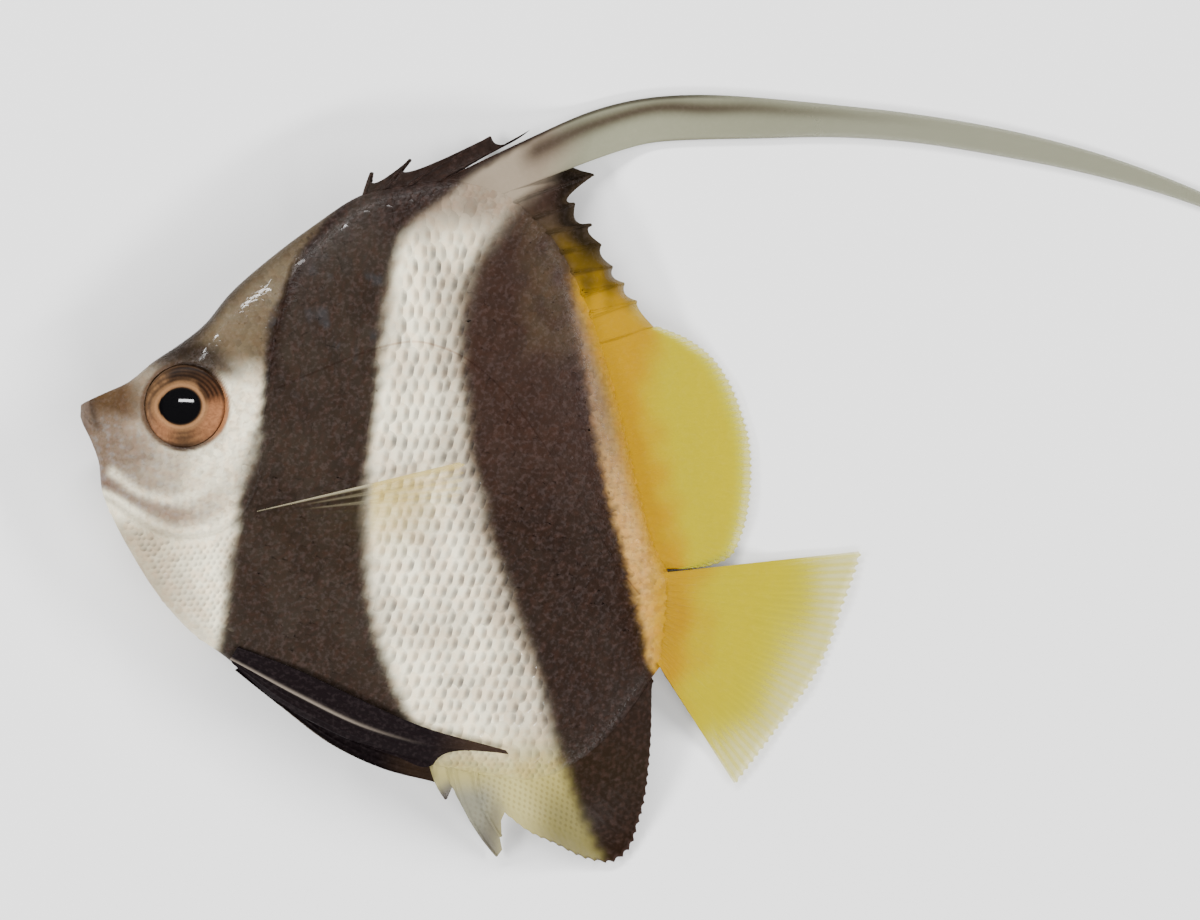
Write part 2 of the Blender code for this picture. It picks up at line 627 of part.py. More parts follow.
def spiny_dorsal():
    """Stiff front part of the back fin, with the streamer's broad root between its third and fifth spine."""
    front = spine_row(DORSAL_SPINES, STREAMER_ROOT[0])
    shares = np.array([0.0, 0.08, 0.3, 0.65, 1.0])[:, None]
    first, last = np.array(STREAMER_ROOT)
    centre, ahead, across, width = streamer_line(np.zeros(1))
    end = centre - ahead * GAP + across * width[:, None] * (0.5 - shares)
    streamer_part = (list(first + (last - first) * shares), list(end), [SPINE_RIDGE, 0.0, 0.0, 0.0, 0.0])
    notch = ([STREAMER_NOTCH[0]], [STREAMER_NOTCH[1]], [0.0])
    rear = spine_row(REAR_SPINES, LAST_SPINE[0])
    end_root, end_tip = (np.array(p, float) for p in LAST_SPINE)
    side = np.array([0.0, SPINE_WIDTH])
    closing = ([end_root + side, end_root], [end_tip + side / 2, end_tip], [0.0, SPINE_RIDGE])
    parts = (front, streamer_part, notch, rear, closing)
    roots, tips, ridges = (sum((list(part[i]) for part in parts), []) for i in range(3))
    left = np.full(len(roots), FIN_TIP)
    left[len(front[0]) : len(front[0]) + len(shares)] = 1.0
    root = snapped(roots, 1, back_line)
    fin("fin_dorsal_spiny", root, np.array(tips), np.array(ridges), "dark_fin", rows=7, left=left)


def soft_dorsal():
    places, ridge = ray_columns(SOFT_DORSAL_RAYS)
    heights = SOFT_DORSAL_ROOT[0] + (SOFT_DORSAL_ROOT[1] - SOFT_DORSAL_ROOT[0]) * places
    root = ridge_points(heights, back_line, 1, 1)
    fin("fin_dorsal_soft", root, flowing(SOFT_DORSAL_MARGIN, places), ridge, "yellow_fin", rows=7, bow=0.03)


def caudal():
    """Tail fin, fanned out from the end face of the tail stalk."""
    places, ridge = ray_columns(CAUDAL_RAYS)
    back, belly = BACK[-1], BELLY[-1]
    run = (belly - back) / np.linalg.norm(belly - back)
    behind = np.array([-run[1], run[0]]) * GAP
    root = back + behind + (belly - back) * places[:, None]
    tip = flowing(CAUDAL_MARGIN, places)
    fin("fin_caudal", root, tip, ridge, "yellow_fin", rows=9, root_half=float(SHAPE[-1][0]) * BODY_EDGE)


def anal():
    roots, tips, ridges = spine_row(ANAL_SPINES, (ANAL_ROOT[0], -35.5))
    places, ridge = ray_columns(ANAL_RAYS)
    soft_roots = ridge_points(ANAL_ROOT[0] + (ANAL_ROOT[1] - ANAL_ROOT[0]) * places, belly_line, 0, -1)
    root = np.concatenate([snapped(roots, -1, belly_line), soft_roots])
    tip = np.concatenate([np.array(tips), flowing(ANAL_MARGIN, places)])
    bow = np.concatenate([np.full(len(roots), ANAL_SPINE_BOW), 0 * ridge])
    fin("fin_anal", root, tip, np.concatenate([ridges, ridge]), "pearl", rows=8, bow=bow)


def pectorals():
    """Breast fins: the left lies along the flank, the right is pressed flat between flank and table."""
    places, ridge = ray_columns(PECTORAL_RAYS)
    root = flowing(PECTORAL_ROOT, places)
    tip = flowing(PECTORAL_MARGIN, places)

    def on_flank(x, y, distance):
        top, _ = body_faces(x, y)
        return top + GAP + WEB + RAY_RIDGE + PECTORAL_LIFT * smooth(distance / PECTORAL_LIFT_RUN)

    def under_flank(x, y, distance):
        return np.full_like(x, WEB)

    fin("fin_pectoral_left", root, tip, ridge, "clear_fin", 7, on_flank, root_half=WEB)
    fin("fin_pectoral_right", root, tip, 0 * ridge, "clear_fin", 7, under_flank, root_half=WEB)


def pelvic(name, lower_edge, upper_edge, heights):
    """A folded belly fin: columns run between two long edges from the root to the tip."""
    places = np.linspace(0, 1, PELVIC_ROWS)
    outer, inner = flowing(lower_edge, places), flowing(upper_edge, places)
    share = np.linspace(0, 1, 2 * PELVIC_RAYS - 1)
    plan = outer[None] + (inner - outer)[None] * share[:, None, None]
    x, y = plan[..., 0], plan[..., 1]
    z = heights(x, y, np.broadcast_to(places, x.shape))
    ridge = np.where(np.arange(len(share)) % 2 == 0, RAY_RIDGE, 0.0)[:, None]
    near_tip = smooth((places - (1 - PELVIC_THINNING)) / PELVIC_THINNING)
    half = (WEB + ridge) * (1 - (1 - FIN_TIP) * near_tip)
    middle = np.stack([x, y, z], -1)
    up = np.stack([0 * x, 0 * x, half], -1)
    upper, lower = middle + up, middle - up
    lower[..., 2] = np.maximum(lower[..., 2], 0.0)
    faces = [world(*np.moveaxis(face, -1, 0)) for face in (upper, lower)]
    return loft(name, *faces, "dark_fin", FIN_CREASE)


def pelvics():
    def over_belly(x, y, share):
        top, _ = body_faces(x, y)
        return top + GAP + WEB + RAY_RIDGE

    def under_belly(x, y, share):
        _, bottom = body_faces(x, y)
        sunk = MID_HEIGHT - PELVIC_ROOT_DROP - PELVIC_DROP * smooth(share * PELVIC_DROP_RATE)
        return np.maximum(np.minimum(bottom - GAP - WEB - RAY_RIDGE, sunk), FLOOR_REST)

    pelvic("fin_pelvic_left", LEFT_PELVIC_SPINE, LEFT_PELVIC_UPPER, over_belly)
    pelvic("fin_pelvic_right", RIGHT_PELVIC_OUTER, RIGHT_PELVIC_INNER, under_belly)


def streamer_line(at):
    """Middle, direction, sideways direction and width of the streamer at shares of its length."""
    line = flowing(STREAMER, at)
    step = flowing(STREAMER, np.minimum(at + 1e-3, 1)) - flowing(STREAMER, np.maximum(at - 1e-3, 0))
    ahead = step[:, :2] / np.linalg.norm(step[:, :2], axis=1)[:, None]
    return line[:, :2], ahead, np.stack([-ahead[:, 1], ahead[:, 0]], -1), line[:, 2]


def streamer():
    """The back fin's long streamer in three lengths, lying on the table, thinner towards the tip."""
    length = np.linalg.norm(np.diff(np.array(STREAMER)[:, :2], axis=0), axis=1).sum()
    share = np.linspace(-0.5, 0.5, STREAMER_COLUMNS)
    for number, (start, end) in enumerate(zip(STREAMER_CUTS, STREAMER_CUTS[1:]), 1):
        first = start + (GAP / length if start > 0 else 0)
        places = np.linspace(first, end, STREAMER_ROWS)
        centre, _, across, width = streamer_line(places)
        plan = centre[:, None] + across[:, None] * (width[:, None] * share)[..., None]
        middle = STREAMER_HALF * (1 - 0.5 * places)[:, None]
        half = middle * np.sqrt(1 - STREAMER_ROUND * (2 * share) ** 2)
        upper = world(plan[..., 0], plan[..., 1], middle + half)
        lower = world(plan[..., 0], plan[..., 1], middle - half)
        loft(f"streamer_{number}", upper, lower, "grey_streamer")


clear_scene()
FISH = bpy.data.collections.new("bannerfish")
CUTTERS = bpy.data.collections.new("cutters")
for collection in (FISH, CUTTERS):
    bpy.context.scene.collection.children.link(collection)

head, trunk, tail_stalk = body()
eyes_and_sockets(head)
mouth_and_nostrils(head)
spiny_dorsal()
soft_dorsal()
caudal()
anal()
pectorals()
pelvics()
streamer()
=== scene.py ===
"""A young longfin bannerfish lying on its right side, seen from straight above: skin, scales, fins and eyes.

Shapes are worked out in millimetres on the fish's own plan: x from the snout tip towards the tail, y from the
mouth up towards the back, z up from the table. The left flank faces up.
"""

import math

import bpy
import numpy as np
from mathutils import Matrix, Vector

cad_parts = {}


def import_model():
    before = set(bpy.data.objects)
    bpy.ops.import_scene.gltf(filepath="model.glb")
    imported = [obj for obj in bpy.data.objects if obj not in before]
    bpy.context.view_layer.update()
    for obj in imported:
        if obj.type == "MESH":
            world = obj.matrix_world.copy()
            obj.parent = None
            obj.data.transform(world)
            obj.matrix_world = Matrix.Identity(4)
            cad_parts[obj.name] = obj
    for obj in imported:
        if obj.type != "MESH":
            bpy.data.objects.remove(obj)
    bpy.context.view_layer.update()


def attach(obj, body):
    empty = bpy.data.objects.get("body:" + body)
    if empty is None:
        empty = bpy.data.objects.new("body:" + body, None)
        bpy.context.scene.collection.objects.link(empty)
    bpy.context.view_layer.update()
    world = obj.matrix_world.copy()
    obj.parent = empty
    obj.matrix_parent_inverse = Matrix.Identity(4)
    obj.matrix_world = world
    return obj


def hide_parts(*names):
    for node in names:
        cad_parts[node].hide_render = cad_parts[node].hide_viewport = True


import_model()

MM = 0.001
PLAN_CENTRE = (62.95, -6.95)  # middle of the whole outline, which the origin lies under
PHOTO_SCALE = 0.0952  # millimetres to a pixel of the photograph
PHOTO_SNOUT = (82, 405)  # pixel of the plan's zero point
PHOTO_SIZE = (1200, 920)
CAMERA_HEIGHT = 2.2  # metres

GAP = 0.3
COAT = 0.07  # depth by which the skin lies inside the solid, for the scales
FIN_EDGE = 0.5
WEB = 0.25
RAY_RIDGE = 0.12
MID_HEIGHT = 4.55
TAIL_DROOP = 2.0
DROOP_RUN = 10.5
FLOOR_REST = WEB + RAY_RIDGE
FLAT_BLEND = 0.35
PRESSED_FIN = 0.8

# One row for each station line of the body: back point, belly point, half width, fullness, widest height.
STATIONS = (
    ((0.0, 0.0), (-0.05, -1.15), 0.55, 0.45, 0.50),
    ((0.4, 0.25), (0.2, -1.85), 0.95, 0.45, 0.50),
    ((0.9, 0.5), (0.5, -2.45), 0.9, 0.45, 0.50),
    ((2.3, 1.15), (1.0, -3.5), 1.35, 0.45, 0.50),
    ((4.3, 2.05), (1.65, -5.3), 2.1, 0.45, 0.50),
    ((6.9, 4.1), (2.05, -8.3), 2.7, 0.45, 0.52),
    ((9.3, 5.7), (3.3, -11.3), 3.25, 0.45, 0.54),
    ((11.7, 7.6), (4.95, -14.35), 3.7, 0.46, 0.55),
    ((14.1, 10.5), (7.0, -17.6), 4.15, 0.50, 0.53),
    ((18.0, 13.95), (10.3, -21.4), 4.75, 0.58, 0.50),
    ((22.2, 17.1), (13.8, -24.0), 5.15, 0.63, 0.49),
    ((26.6, 19.9), (18.5, -27.9), 5.35, 0.68, 0.48),
    ((31.5, 20.9), (24.6, -31.3), 5.25, 0.73, 0.48),
    ((36.5, 21.2), (31.0, -33.4), 4.85, 0.77, 0.48),
    ((41.2, 19.5), (37.4, -35.0), 4.3, 0.78, 0.48),
    ((45.2, 15.4), (43.2, -35.6), 3.7, 0.78, 0.49),
    ((48.6, 8.2), (47.6, -33.7), 3.1, 0.76, 0.50),
    ((51.0, 0.4), (50.6, -31.0), 2.55, 0.70, 0.50),
    ((53.0, -8.2), (52.9, -28.0), 2.1, 0.62, 0.50),
    ((54.6, -13.8), (54.2, -26.0), 1.75, 0.52, 0.50),
    ((55.8, -15.9), (55.0, -24.9), 1.5, 0.50, 0.50),
)
SKIN_ALONG = 310
SKIN_ACROSS = 154
SKIN_EASE = 1.5  # above 1 the rows lie closer towards the snout

GILL_EDGE = (
    (22.3, 19.5), (20.7, 15.5), (19.2, 10.0), (18.2, 5.0), (17.5, 0.5), (17.2, -4.0), (16.5, -8.3),
    (14.7, -10.9), (12.2, -12.2), (9.5, -12.5), (6.8, -11.7), (4.4, -10.2), (2.6, -9.1), (0.6, -8.5),
)
CHEEK_EDGE = ((10.5, 3.4), (13.7, 1.6), (14.6, -2.6), (13.3, -6.6), (9.6, -8.9), (5.6, -8.2), (3.0, -6.4))
GILL_RISE = 0.22
GILL_FADE = 1.6

EYE_AT = (9.94, -0.12)
EYE_RADIUS = 3.95
EYE_DOME = 0.62
EYE_DEPTH = 2.3
EYE_SINK = 0.42
EYE_REACH = 3.3
EYE_RINGS = 96
EYE_SPOKES = 160
PUPIL_AT = (-0.25, -0.08)
PUPIL_RADII = (1.98, 1.8)
ORBIT_RIM = 0.14
ORBIT_SPREAD = 1.2
SOCKET_DEPTH = 1.3

MOUTH_LINE = ((-0.3, -0.45), (0.3, -0.95), (0.75, -1.35), (1.05, -1.75))
LIP_GROOVE = ((0.55, 0.55), (0.75, -0.3), (1.15, -1.5), (1.35, -2.3), (1.0, -2.9))
NOSTRILS = ((4.35, 0.9), (5.15, 1.25))

# Spines of the back fin: root, tip, and the notch in the membrane behind it.
DORSAL_SPINES = (
    ((26.9, 20.3), (27.65, 22.05), (28.1, 21.1)),
    ((28.9, 20.8), (31.3, 23.3), (31.5, 22.2)),
    ((31.3, 21.2), (38.9, 25.5), (40.1, 24.75)),
)
STREAMER_ROOT = ((34.2, 21.5), (40.3, 20.2))
STREAMER_NOTCH = ((41.0, 19.9), (47.4, 22.3))
REAR_SPINES = (
    ((41.6, 19.6), (48.7, 21.9), (46.3, 19.8)),
    ((43.3, 17.9), (46.9, 19.1), (47.0, 17.5)),
    ((44.6, 16.5), (48.5, 17.1), (48.2, 16.4)),
    ((45.8, 14.6), (49.4, 15.2), (49.4, 14.2)),
    ((46.8, 12.6), (50.5, 13.1), (50.5, 12.2)),
    ((47.7, 10.6), (51.6, 11.5), (51.7, 10.5)),
    ((48.5, 8.6), (52.8, 9.8), (53.1, 8.9)),
)
LAST_SPINE = ((49.2, 6.5), (54.4, 8.0))
SPINE_WIDTH = 0.3

SOFT_DORSAL_ROOT = (6.1, -15.68)
SOFT_DORSAL_MARGIN = (
    (54.8, 7.5), (57.9, 6.2), (60.0, 4.6), (61.7, 2.2), (62.8, -0.5), (63.6, -3.3), (63.8, -6.2),
    (63.6, -9.3), (63.0, -12.0), (61.6, -14.6), (59.8, -15.3), (57.0, -15.63),
)
SOFT_DORSAL_RAYS = 25
CAUDAL_MARGIN = (
    (74.3, -13.9), (73.7, -16.0), (72.5, -19.2), (71.3, -22.8), (69.5, -26.4), (67.4, -29.3),
    (65.1, -32.4), (62.2, -36.2),
)
CAUDAL_RAYS = 17
ANAL_SPINES = (
    ((33.6, -34.2), (34.7, -37.4), (35.4, -36.0)),
    ((35.6, -34.9), (39.5, -42.9), (40.0, -42.3)),
    ((37.6, -35.3), (39.9, -41.0), (39.9, -39.5)),
)
ANAL_SPINE_BOW = -0.07
ANAL_ROOT = (39.0, 54.15)
ANAL_MARGIN = (
    (40.3, -38.8), (42.6, -40.6), (45.1, -41.8), (48.3, -43.3), (50.7, -43.5), (52.2, -42.2),
    (52.9, -40.2), (53.6, -37.5), (54.0, -34.2), (54.2, -30.5), (54.2, -28.4), (54.2, -26.3),
)
ANAL_RAYS = 17
PECTORAL_ROOT = ((17.5, -9.9), (18.7, -12.7))
PECTORAL_MARGIN = ((36.6, -5.3), (36.2, -8.3), (34.2, -12.0), (30.6, -15.2), (26.3, -16.4), (22.3, -15.6))
PECTORAL_RAYS = 15
PRESSED_ZONE = ((26.8, -11.0), (12.2, 8.6), math.radians(12))
LEFT_PELVIC_SPINE = ((14.3, -24.0), (20.7, -27.5), (27.0, -30.5), (33.0, -32.2), (40.6, -33.1))
LEFT_PELVIC_UPPER = ((14.9, -23.0), (20.7, -25.2), (26.0, -27.7), (32.0, -30.4), (40.4, -32.8))
LEFT_PELVIC_LOWER = (
    (14.4, -24.4), (18.6, -28.0), (24.4, -31.2), (30.0, -33.4), (33.2, -34.3), (34.2, -33.3), (37.0, -32.75),
    (40.6, -33.15),
)
RIGHT_PELVIC_OUTER = ((14.6, -25.2), (19.1, -28.8), (23.9, -32.4), (28.6, -34.6), (33.6, -35.9))
RIGHT_PELVIC_INNER = ((15.8, -24.4), (20.7, -27.4), (25.0, -29.8), (29.0, -31.3), (33.1, -32.6))
PELVIC_RAYS = 7
PELVIC_DROP = 3.2

# Middle line of the streamer and its width, from the end of its broad root to the tip.
STREAMER = (
    (48.5, 25.7, 4.5), (53.1, 27.0, 4.3), (58.8, 27.4, 4.3), (64.5, 27.3, 3.9), (70.3, 27.1, 3.2),
    (77.9, 26.5, 2.75), (87.4, 25.0, 2.6), (96.9, 22.8, 2.1), (106.4, 19.6, 1.35), (116.0, 15.0, 0.8),
    (126.0, 8.1, 0.35),
)
STREAMER_HALF = 0.3
STREAMER_ACROSS = 41
STREAMER_ALONG = 300
STREAMER_WEB = 43  # rows on its broad root

# Edges of the two dark bands, as points (y, x, softness) from the back down to the belly and the anal fin.
BAND_1_FRONT = (
    (24.0, 27.1, 1.6), (20.5, 25.6, 1.6), (18.1, 23.9, 1.6), (14.3, 20.9, 1.6), (10.9, 19.4, 1.4),
    (8.1, 18.4, 1.7), (5.2, 17.8, 1.5), (2.4, 17.6, 1.2), (-0.5, 17.2, 1.5), (-3.3, 16.8, 3.0),
    (-6.2, 16.0, 3.3), (-9.0, 15.2, 1.9), (-11.9, 14.9, 2.0), (-14.8, 14.4, 2.0), (-17.6, 14.1, 2.0),
    (-20.5, 13.7, 1.9), (-23.0, 13.2, 1.9), (-28.0, 12.7, 1.9),
)
BAND_1_REAR = (
    (27.5, 46.2, 2.4), (23.5, 39.7, 2.4), (22.2, 37.4, 2.4), (20.9, 35.8, 2.4), (19.4, 33.8, 2.8),
    (17.8, 31.8, 2.8), (16.3, 30.6, 2.4), (13.8, 29.8, 2.2), (10.9, 29.2, 2.6), (8.1, 28.8, 2.3),
    (5.2, 28.5, 2.2), (2.4, 28.3, 2.0), (-0.5, 28.0, 1.6), (-3.3, 27.5, 1.7), (-6.2, 27.2, 2.2),
    (-9.0, 27.0, 2.4), (-14.8, 27.0, 2.3), (-17.6, 27.2, 2.3), (-20.5, 27.7, 2.4), (-23.3, 28.5, 2.3),
    (-26.2, 29.5, 2.5), (-28.5, 30.5, 2.4), (-34.0, 32.9, 2.4),
)
BAND_2_FRONT = (
    (24.0, 49.2, 4.6), (22.4, 47.2, 4.6), (20.6, 44.5, 4.6), (18.1, 41.6, 4.6), (15.8, 39.6, 4.6),
    (13.8, 38.1, 4.4), (10.9, 37.0, 4.0), (8.1, 36.5, 2.7), (5.2, 36.5, 2.7), (2.4, 36.6, 2.4),
    (-0.5, 37.0, 2.6), (-3.3, 37.1, 2.0), (-6.2, 37.6, 2.1), (-9.0, 38.5, 2.5), (-11.9, 38.8, 2.4),
    (-14.8, 39.8, 2.4), (-17.6, 40.8, 2.4), (-20.5, 41.8, 3.0), (-23.3, 42.8, 2.6), (-26.2, 43.8, 2.4),
    (-29.0, 44.4, 2.6), (-31.9, 45.2, 3.0), (-34.7, 46.2, 2.8), (-37.9, 47.4, 2.6), (-42.4, 49.5, 2.4),
    (-45.0, 50.9, 2.4),
)
BAND_2_REAR = (
    (24.0, 50.5, 4.0), (20.0, 48.6, 4.0), (16.6, 46.8, 4.0), (13.8, 46.0, 4.0), (10.9, 45.9, 3.4),
    (8.1, 46.4, 2.2), (5.2, 47.1, 2.1), (2.4, 47.7, 1.7), (-0.5, 48.2, 1.2), (-3.3, 48.7, 1.4),
    (-6.2, 49.3, 1.2), (-9.0, 50.0, 1.3), (-11.9, 50.8, 1.2), (-14.8, 51.6, 1.3), (-17.6, 52.3, 1.5),
    (-20.5, 53.0, 1.4), (-22.4, 53.4, 1.4), (-25.1, 54.0, 1.4), (-27.0, 56.0, 1.4), (-45.0, 60.0, 1.4),
)
BANDS = ((BAND_1_FRONT, BAND_1_REAR), (BAND_2_FRONT, BAND_2_REAR))
LATERAL_LINE = (
    (17.0, 0.8), (23.0, 3.4), (27.1, 5.0), (29.5, 5.7), (31.8, 6.0), (34.7, 5.3), (36.4, 4.5),
    (40.0, 1.5), (44.5, -4.5), (48.5, -11.0), (51.5, -16.0), (55.5, -20.5),
)

# Scales: the zone's name, spacing along the rows, and spacing of the rows at the back and at the belly.
SCALE_ZONES = (("trunk", 1.06, 1.5, 1.1), ("head", 0.62, 0.54, 0.54), ("edge", 0.6, 0.52, 0.52))
PLATE_ALONG = (0.0, 0.22, 0.48, 0.72, 0.93, 1.0)  # a plate's grid, from its root to its rear edge
PLATE_ACROSS = (-1.0, -0.84, -0.44, 0.0, 0.44, 0.84, 1.0)
RIM_CLEARANCE = 0.35  # distance from the outline within which no scale grows
NAPE_CLEARANCE = 0.75

# Colours as the bright photograph shows them, on the 0 to 255 scale.
PEARL = (224, 219, 211)
TAN = (104, 80, 42)
ASH = (158, 143, 126)
OLIVE = (44, 29, 16)
BAND = (37, 20, 15)
UMBER = (88, 62, 52)
SMOKE = (100, 82, 58)
SLATE = (78, 80, 84)
BEIGE = (160, 138, 88)
SAND = (200, 179, 118)
HONEY = (196, 172, 50)
GOLD = (188, 161, 0)
YELLOW = (191, 183, 0)
LEMON = (207, 204, 32)
SNOUT_BROWN = (106, 76, 40)
LIP_GREY = (140, 124, 112)
SILVER = (190, 182, 170)
CHEEK = (164, 152, 136)
THROAT = (176, 164, 140)
COOL_SHEEN = (188, 194, 198)
WARM_SHEEN = (160, 136, 122)
# Pinkish-brown of the painted shade inside the gill cover's lower edge.
ROSE_SHADE = (150, 124, 108)
STREAMER_GREY = (170, 170, 152)
STREAMER_BROWN = (84, 66, 50)
ANAL_PALE = (188, 181, 104)
ANAL_OLIVE = (142, 134, 80)
# Grey-brown on the white band before band 2: partly the band's soft edge, partly painted shade.
DUSK = (160, 142, 122)
MUZZLE = (140, 117, 92)
BRIDGE = (140, 122, 96)
LIP_SHADOW = (78, 56, 38)
ORBIT = (118, 90, 64)
ORBIT_LIT = (184, 144, 98)
ORBIT_TOP = (30, 18, 8)
ORBIT_FOOT = (60, 38, 28)
REAR_BEIGE = (156, 130, 98)
FRECKLE = (122, 98, 72)
OCHRE = (122, 96, 18)
SOOT = (26, 18, 8)
ANAL_FRONT = (158, 158, 150)
ANAL_FRONT_RIM = (120, 112, 106)
BREAST_ON_DARK = (92, 78, 36)
BREAST_ON_WHITE = (208, 198, 118)
# Pale grey of the painted highlight along the breast fin's first rays.
BREAST_RAY_GLINT = (200, 196, 180)
BELLY_FIN = (30, 22, 24)
BELLY_FIN_TIP = (92, 70, 52)
# Pale grey of the painted highlight on the belly fin's black spine.
BELLY_SPINE_GLINT = (170, 162, 152)
IRIS = (158, 126, 88)
IRIS_RING = (96, 72, 50)
IRIS_BLOT = (92, 66, 44)
IRIS_WARM = (186, 146, 106)
IRIS_BRIGHT = (190, 160, 120)
IRIS_STREAK = (84, 62, 44)
IRIS_UPPER = (34, 22, 18)
IRIS_LOWER = (92, 66, 46)
IRIS_OUTER = (104, 78, 54)
IRIS_FOOT = (64, 42, 30)
PUPIL = (6, 5, 7)
SKIN_GLOW = (0.011, 0.0085, 0.0085)  # light that pale specks add to skin and scales
FIN_GLOW = (0.006, 0.0045, 0.0045)
PHOTO_EXPOSURE = 0.08  # share of the light that a surface gives back where the photograph is half bright


def world(x, y, z):
    """Plan millimetres as metres about the origin."""
    return np.stack([(x - PLAN_CENTRE[0]) * MM, (y - PLAN_CENTRE[1]) * MM, z * MM], axis=-1)


def light(colour):
    """Share of the light that a surface gives back where the photograph has this 0 to 255 colour."""
    share = np.clip(np.asarray(colour, float) / 255, 0, 0.95)
    return np.minimum(PHOTO_EXPOSURE * (share / (1 - share)) ** 1.285, 0.88)


def smooth(t):
    """0 below 0, 1 above 1, and 3t2 - 2t3 between."""
    t = np.clip(t, 0.0, 1.0)
    return t * t * (3 - 2 * t)


def bell(distance, width):
    """1 at no distance, falling as a Gauss curve of that width."""
    return np.exp(-((distance / width) ** 2))


def blend(colours, colour, share):
    """Colours moved towards one colour by a share that varies from point to point."""
    return colours + (light(colour) - colours) * share[..., None]


def through(knots, values, at):
    """Cubic pieces through values at knots, each knot's slope coming from its two neighbours."""
    values = np.asarray(values, float)
    slopes = np.gradient(values, knots, axis=0)
    at = np.clip(at, knots[0], knots[-1])
    i = np.clip(np.searchsorted(knots, at, side="right") - 1, 0, len(knots) - 2)
    width = (knots[i + 1] - knots[i]).reshape(at.shape + (1,) * (values.ndim - 1))
    t = (at - knots[i]).reshape(width.shape) / width
    return (
        (2 * t**3 - 3 * t**2 + 1) * values[i]
        + (t**3 - 2 * t**2 + t) * width * slopes[i]
        + (3 * t**2 - 2 * t**3) * values[i + 1]
        + (t**3 - t**2) * width * slopes[i + 1]
    )


def flowing(points, at):
    """A smooth curve through points, at shares from 0 to 1 of its chord length."""
    points = np.asarray(points, float)
    steps = np.linalg.norm(np.diff(points[:, :2], axis=0), axis=1)
    knots = np.concatenate([[0.0], np.cumsum(steps)])
    return through(knots / knots[-1], points, np.asarray(at, float))


def edge_at(points, y, column=1):
    """x of a band's edge, or its softness (column 2), at height y, through its points from the back down."""
    table = np.array(points, float)[::-1]
    return through(table[:, 0], table[:, column], y)


BACK = np.array([row[0] for row in STATIONS])
BELLY = np.array([row[1] for row in STATIONS])
SHAPE = np.array([row[2:] for row in STATIONS])
KNOTS = sum(
    np.concatenate([[0.0], np.cumsum(np.linalg.norm(np.diff(side, axis=0), axis=1))])
    for side in (BACK, BELLY)
)
KNOTS = KNOTS / KNOTS[-1]
RIDGE = np.linspace(0.2, 1, 900)  # stations behind the eye, where fins grow from the ridges


def back_line(s):
    """The back ridge at station s: a smooth curve through the back points of the stations."""
    return through(KNOTS, BACK, s)


def belly_line(s):
    """The belly ridge at station s: a smooth curve through the belly points of the stations."""
    return through(KNOTS, BELLY, s)


def from_curve(curve, x, y, steps=120):
    """Distance of points from a curve, the side of it that they lie on, and how far along they lie."""
    line = flowing(curve, np.linspace(0, 1, steps))
    a, run = line[:-1], np.diff(line, axis=0)
    p = np.stack([x, y], axis=-1)[..., None, :]
    t = np.clip(((p - a) * run).sum(-1) / (run**2).sum(-1), 0, 1)
    off = p - (a + t[..., None] * run)
    distance = np.linalg.norm(off, axis=-1)
    nearest = distance.argmin(-1)[..., None]
    side = run[..., 0] * off[..., 1] - run[..., 1] * off[..., 0]
    pick = np.take_along_axis
    along = (nearest + pick(t, nearest, -1))[..., 0] / (steps - 1)
    return pick(distance, nearest, -1)[..., 0], np.sign(pick(side, nearest, -1)[..., 0]), along


def near_curve(curve, x, y, reach):
    """As from_curve, but only within reach of the curve's own box; 9 mm elsewhere."""
    points = np.array(curve)
    low, high = points.min(0) - reach, points.max(0) + reach
    inside = (x > low[0]) & (x < high[0]) & (y > low[1]) & (y < high[1])
    distance, side, along = np.full(x.shape, 9.0), np.zeros(x.shape), np.zeros(x.shape)
    distance[inside], side[inside], along[inside] = from_curve(curve, x[inside], y[inside])
    return distance, side, along


def half_thickness(s, v):
    """Half thickness of the body at station s and height v, both from 0 to 1."""
    width, fullness, widest = np.moveaxis(through(KNOTS, SHAPE, s), -1, 0)
    lifted = v ** (np.log(0.5) / np.log(widest))
    section = np.clip(4 * lifted * (1 - lifted), 0, 1) ** fullness
    edge = np.minimum(FIN_EDGE, width * 0.7)
    return edge + (width - edge) * section


def broad_relief(x, y, share):
    """The head's swellings as the solid has them: the gill cover's edge and the rim of the orbit."""
    distance, side, _ = near_curve(GILL_EDGE, x, y, GILL_FADE)
    cover = np.where(side < 0, smooth(1 - distance / GILL_FADE), 0) * GILL_RISE
    from_eye = np.hypot(x - EYE_AT[0], y - EYE_AT[1]) - EYE_RADIUS
    return (cover + ORBIT_RIM * bell(np.maximum(from_eye, 0), ORBIT_SPREAD)) * share


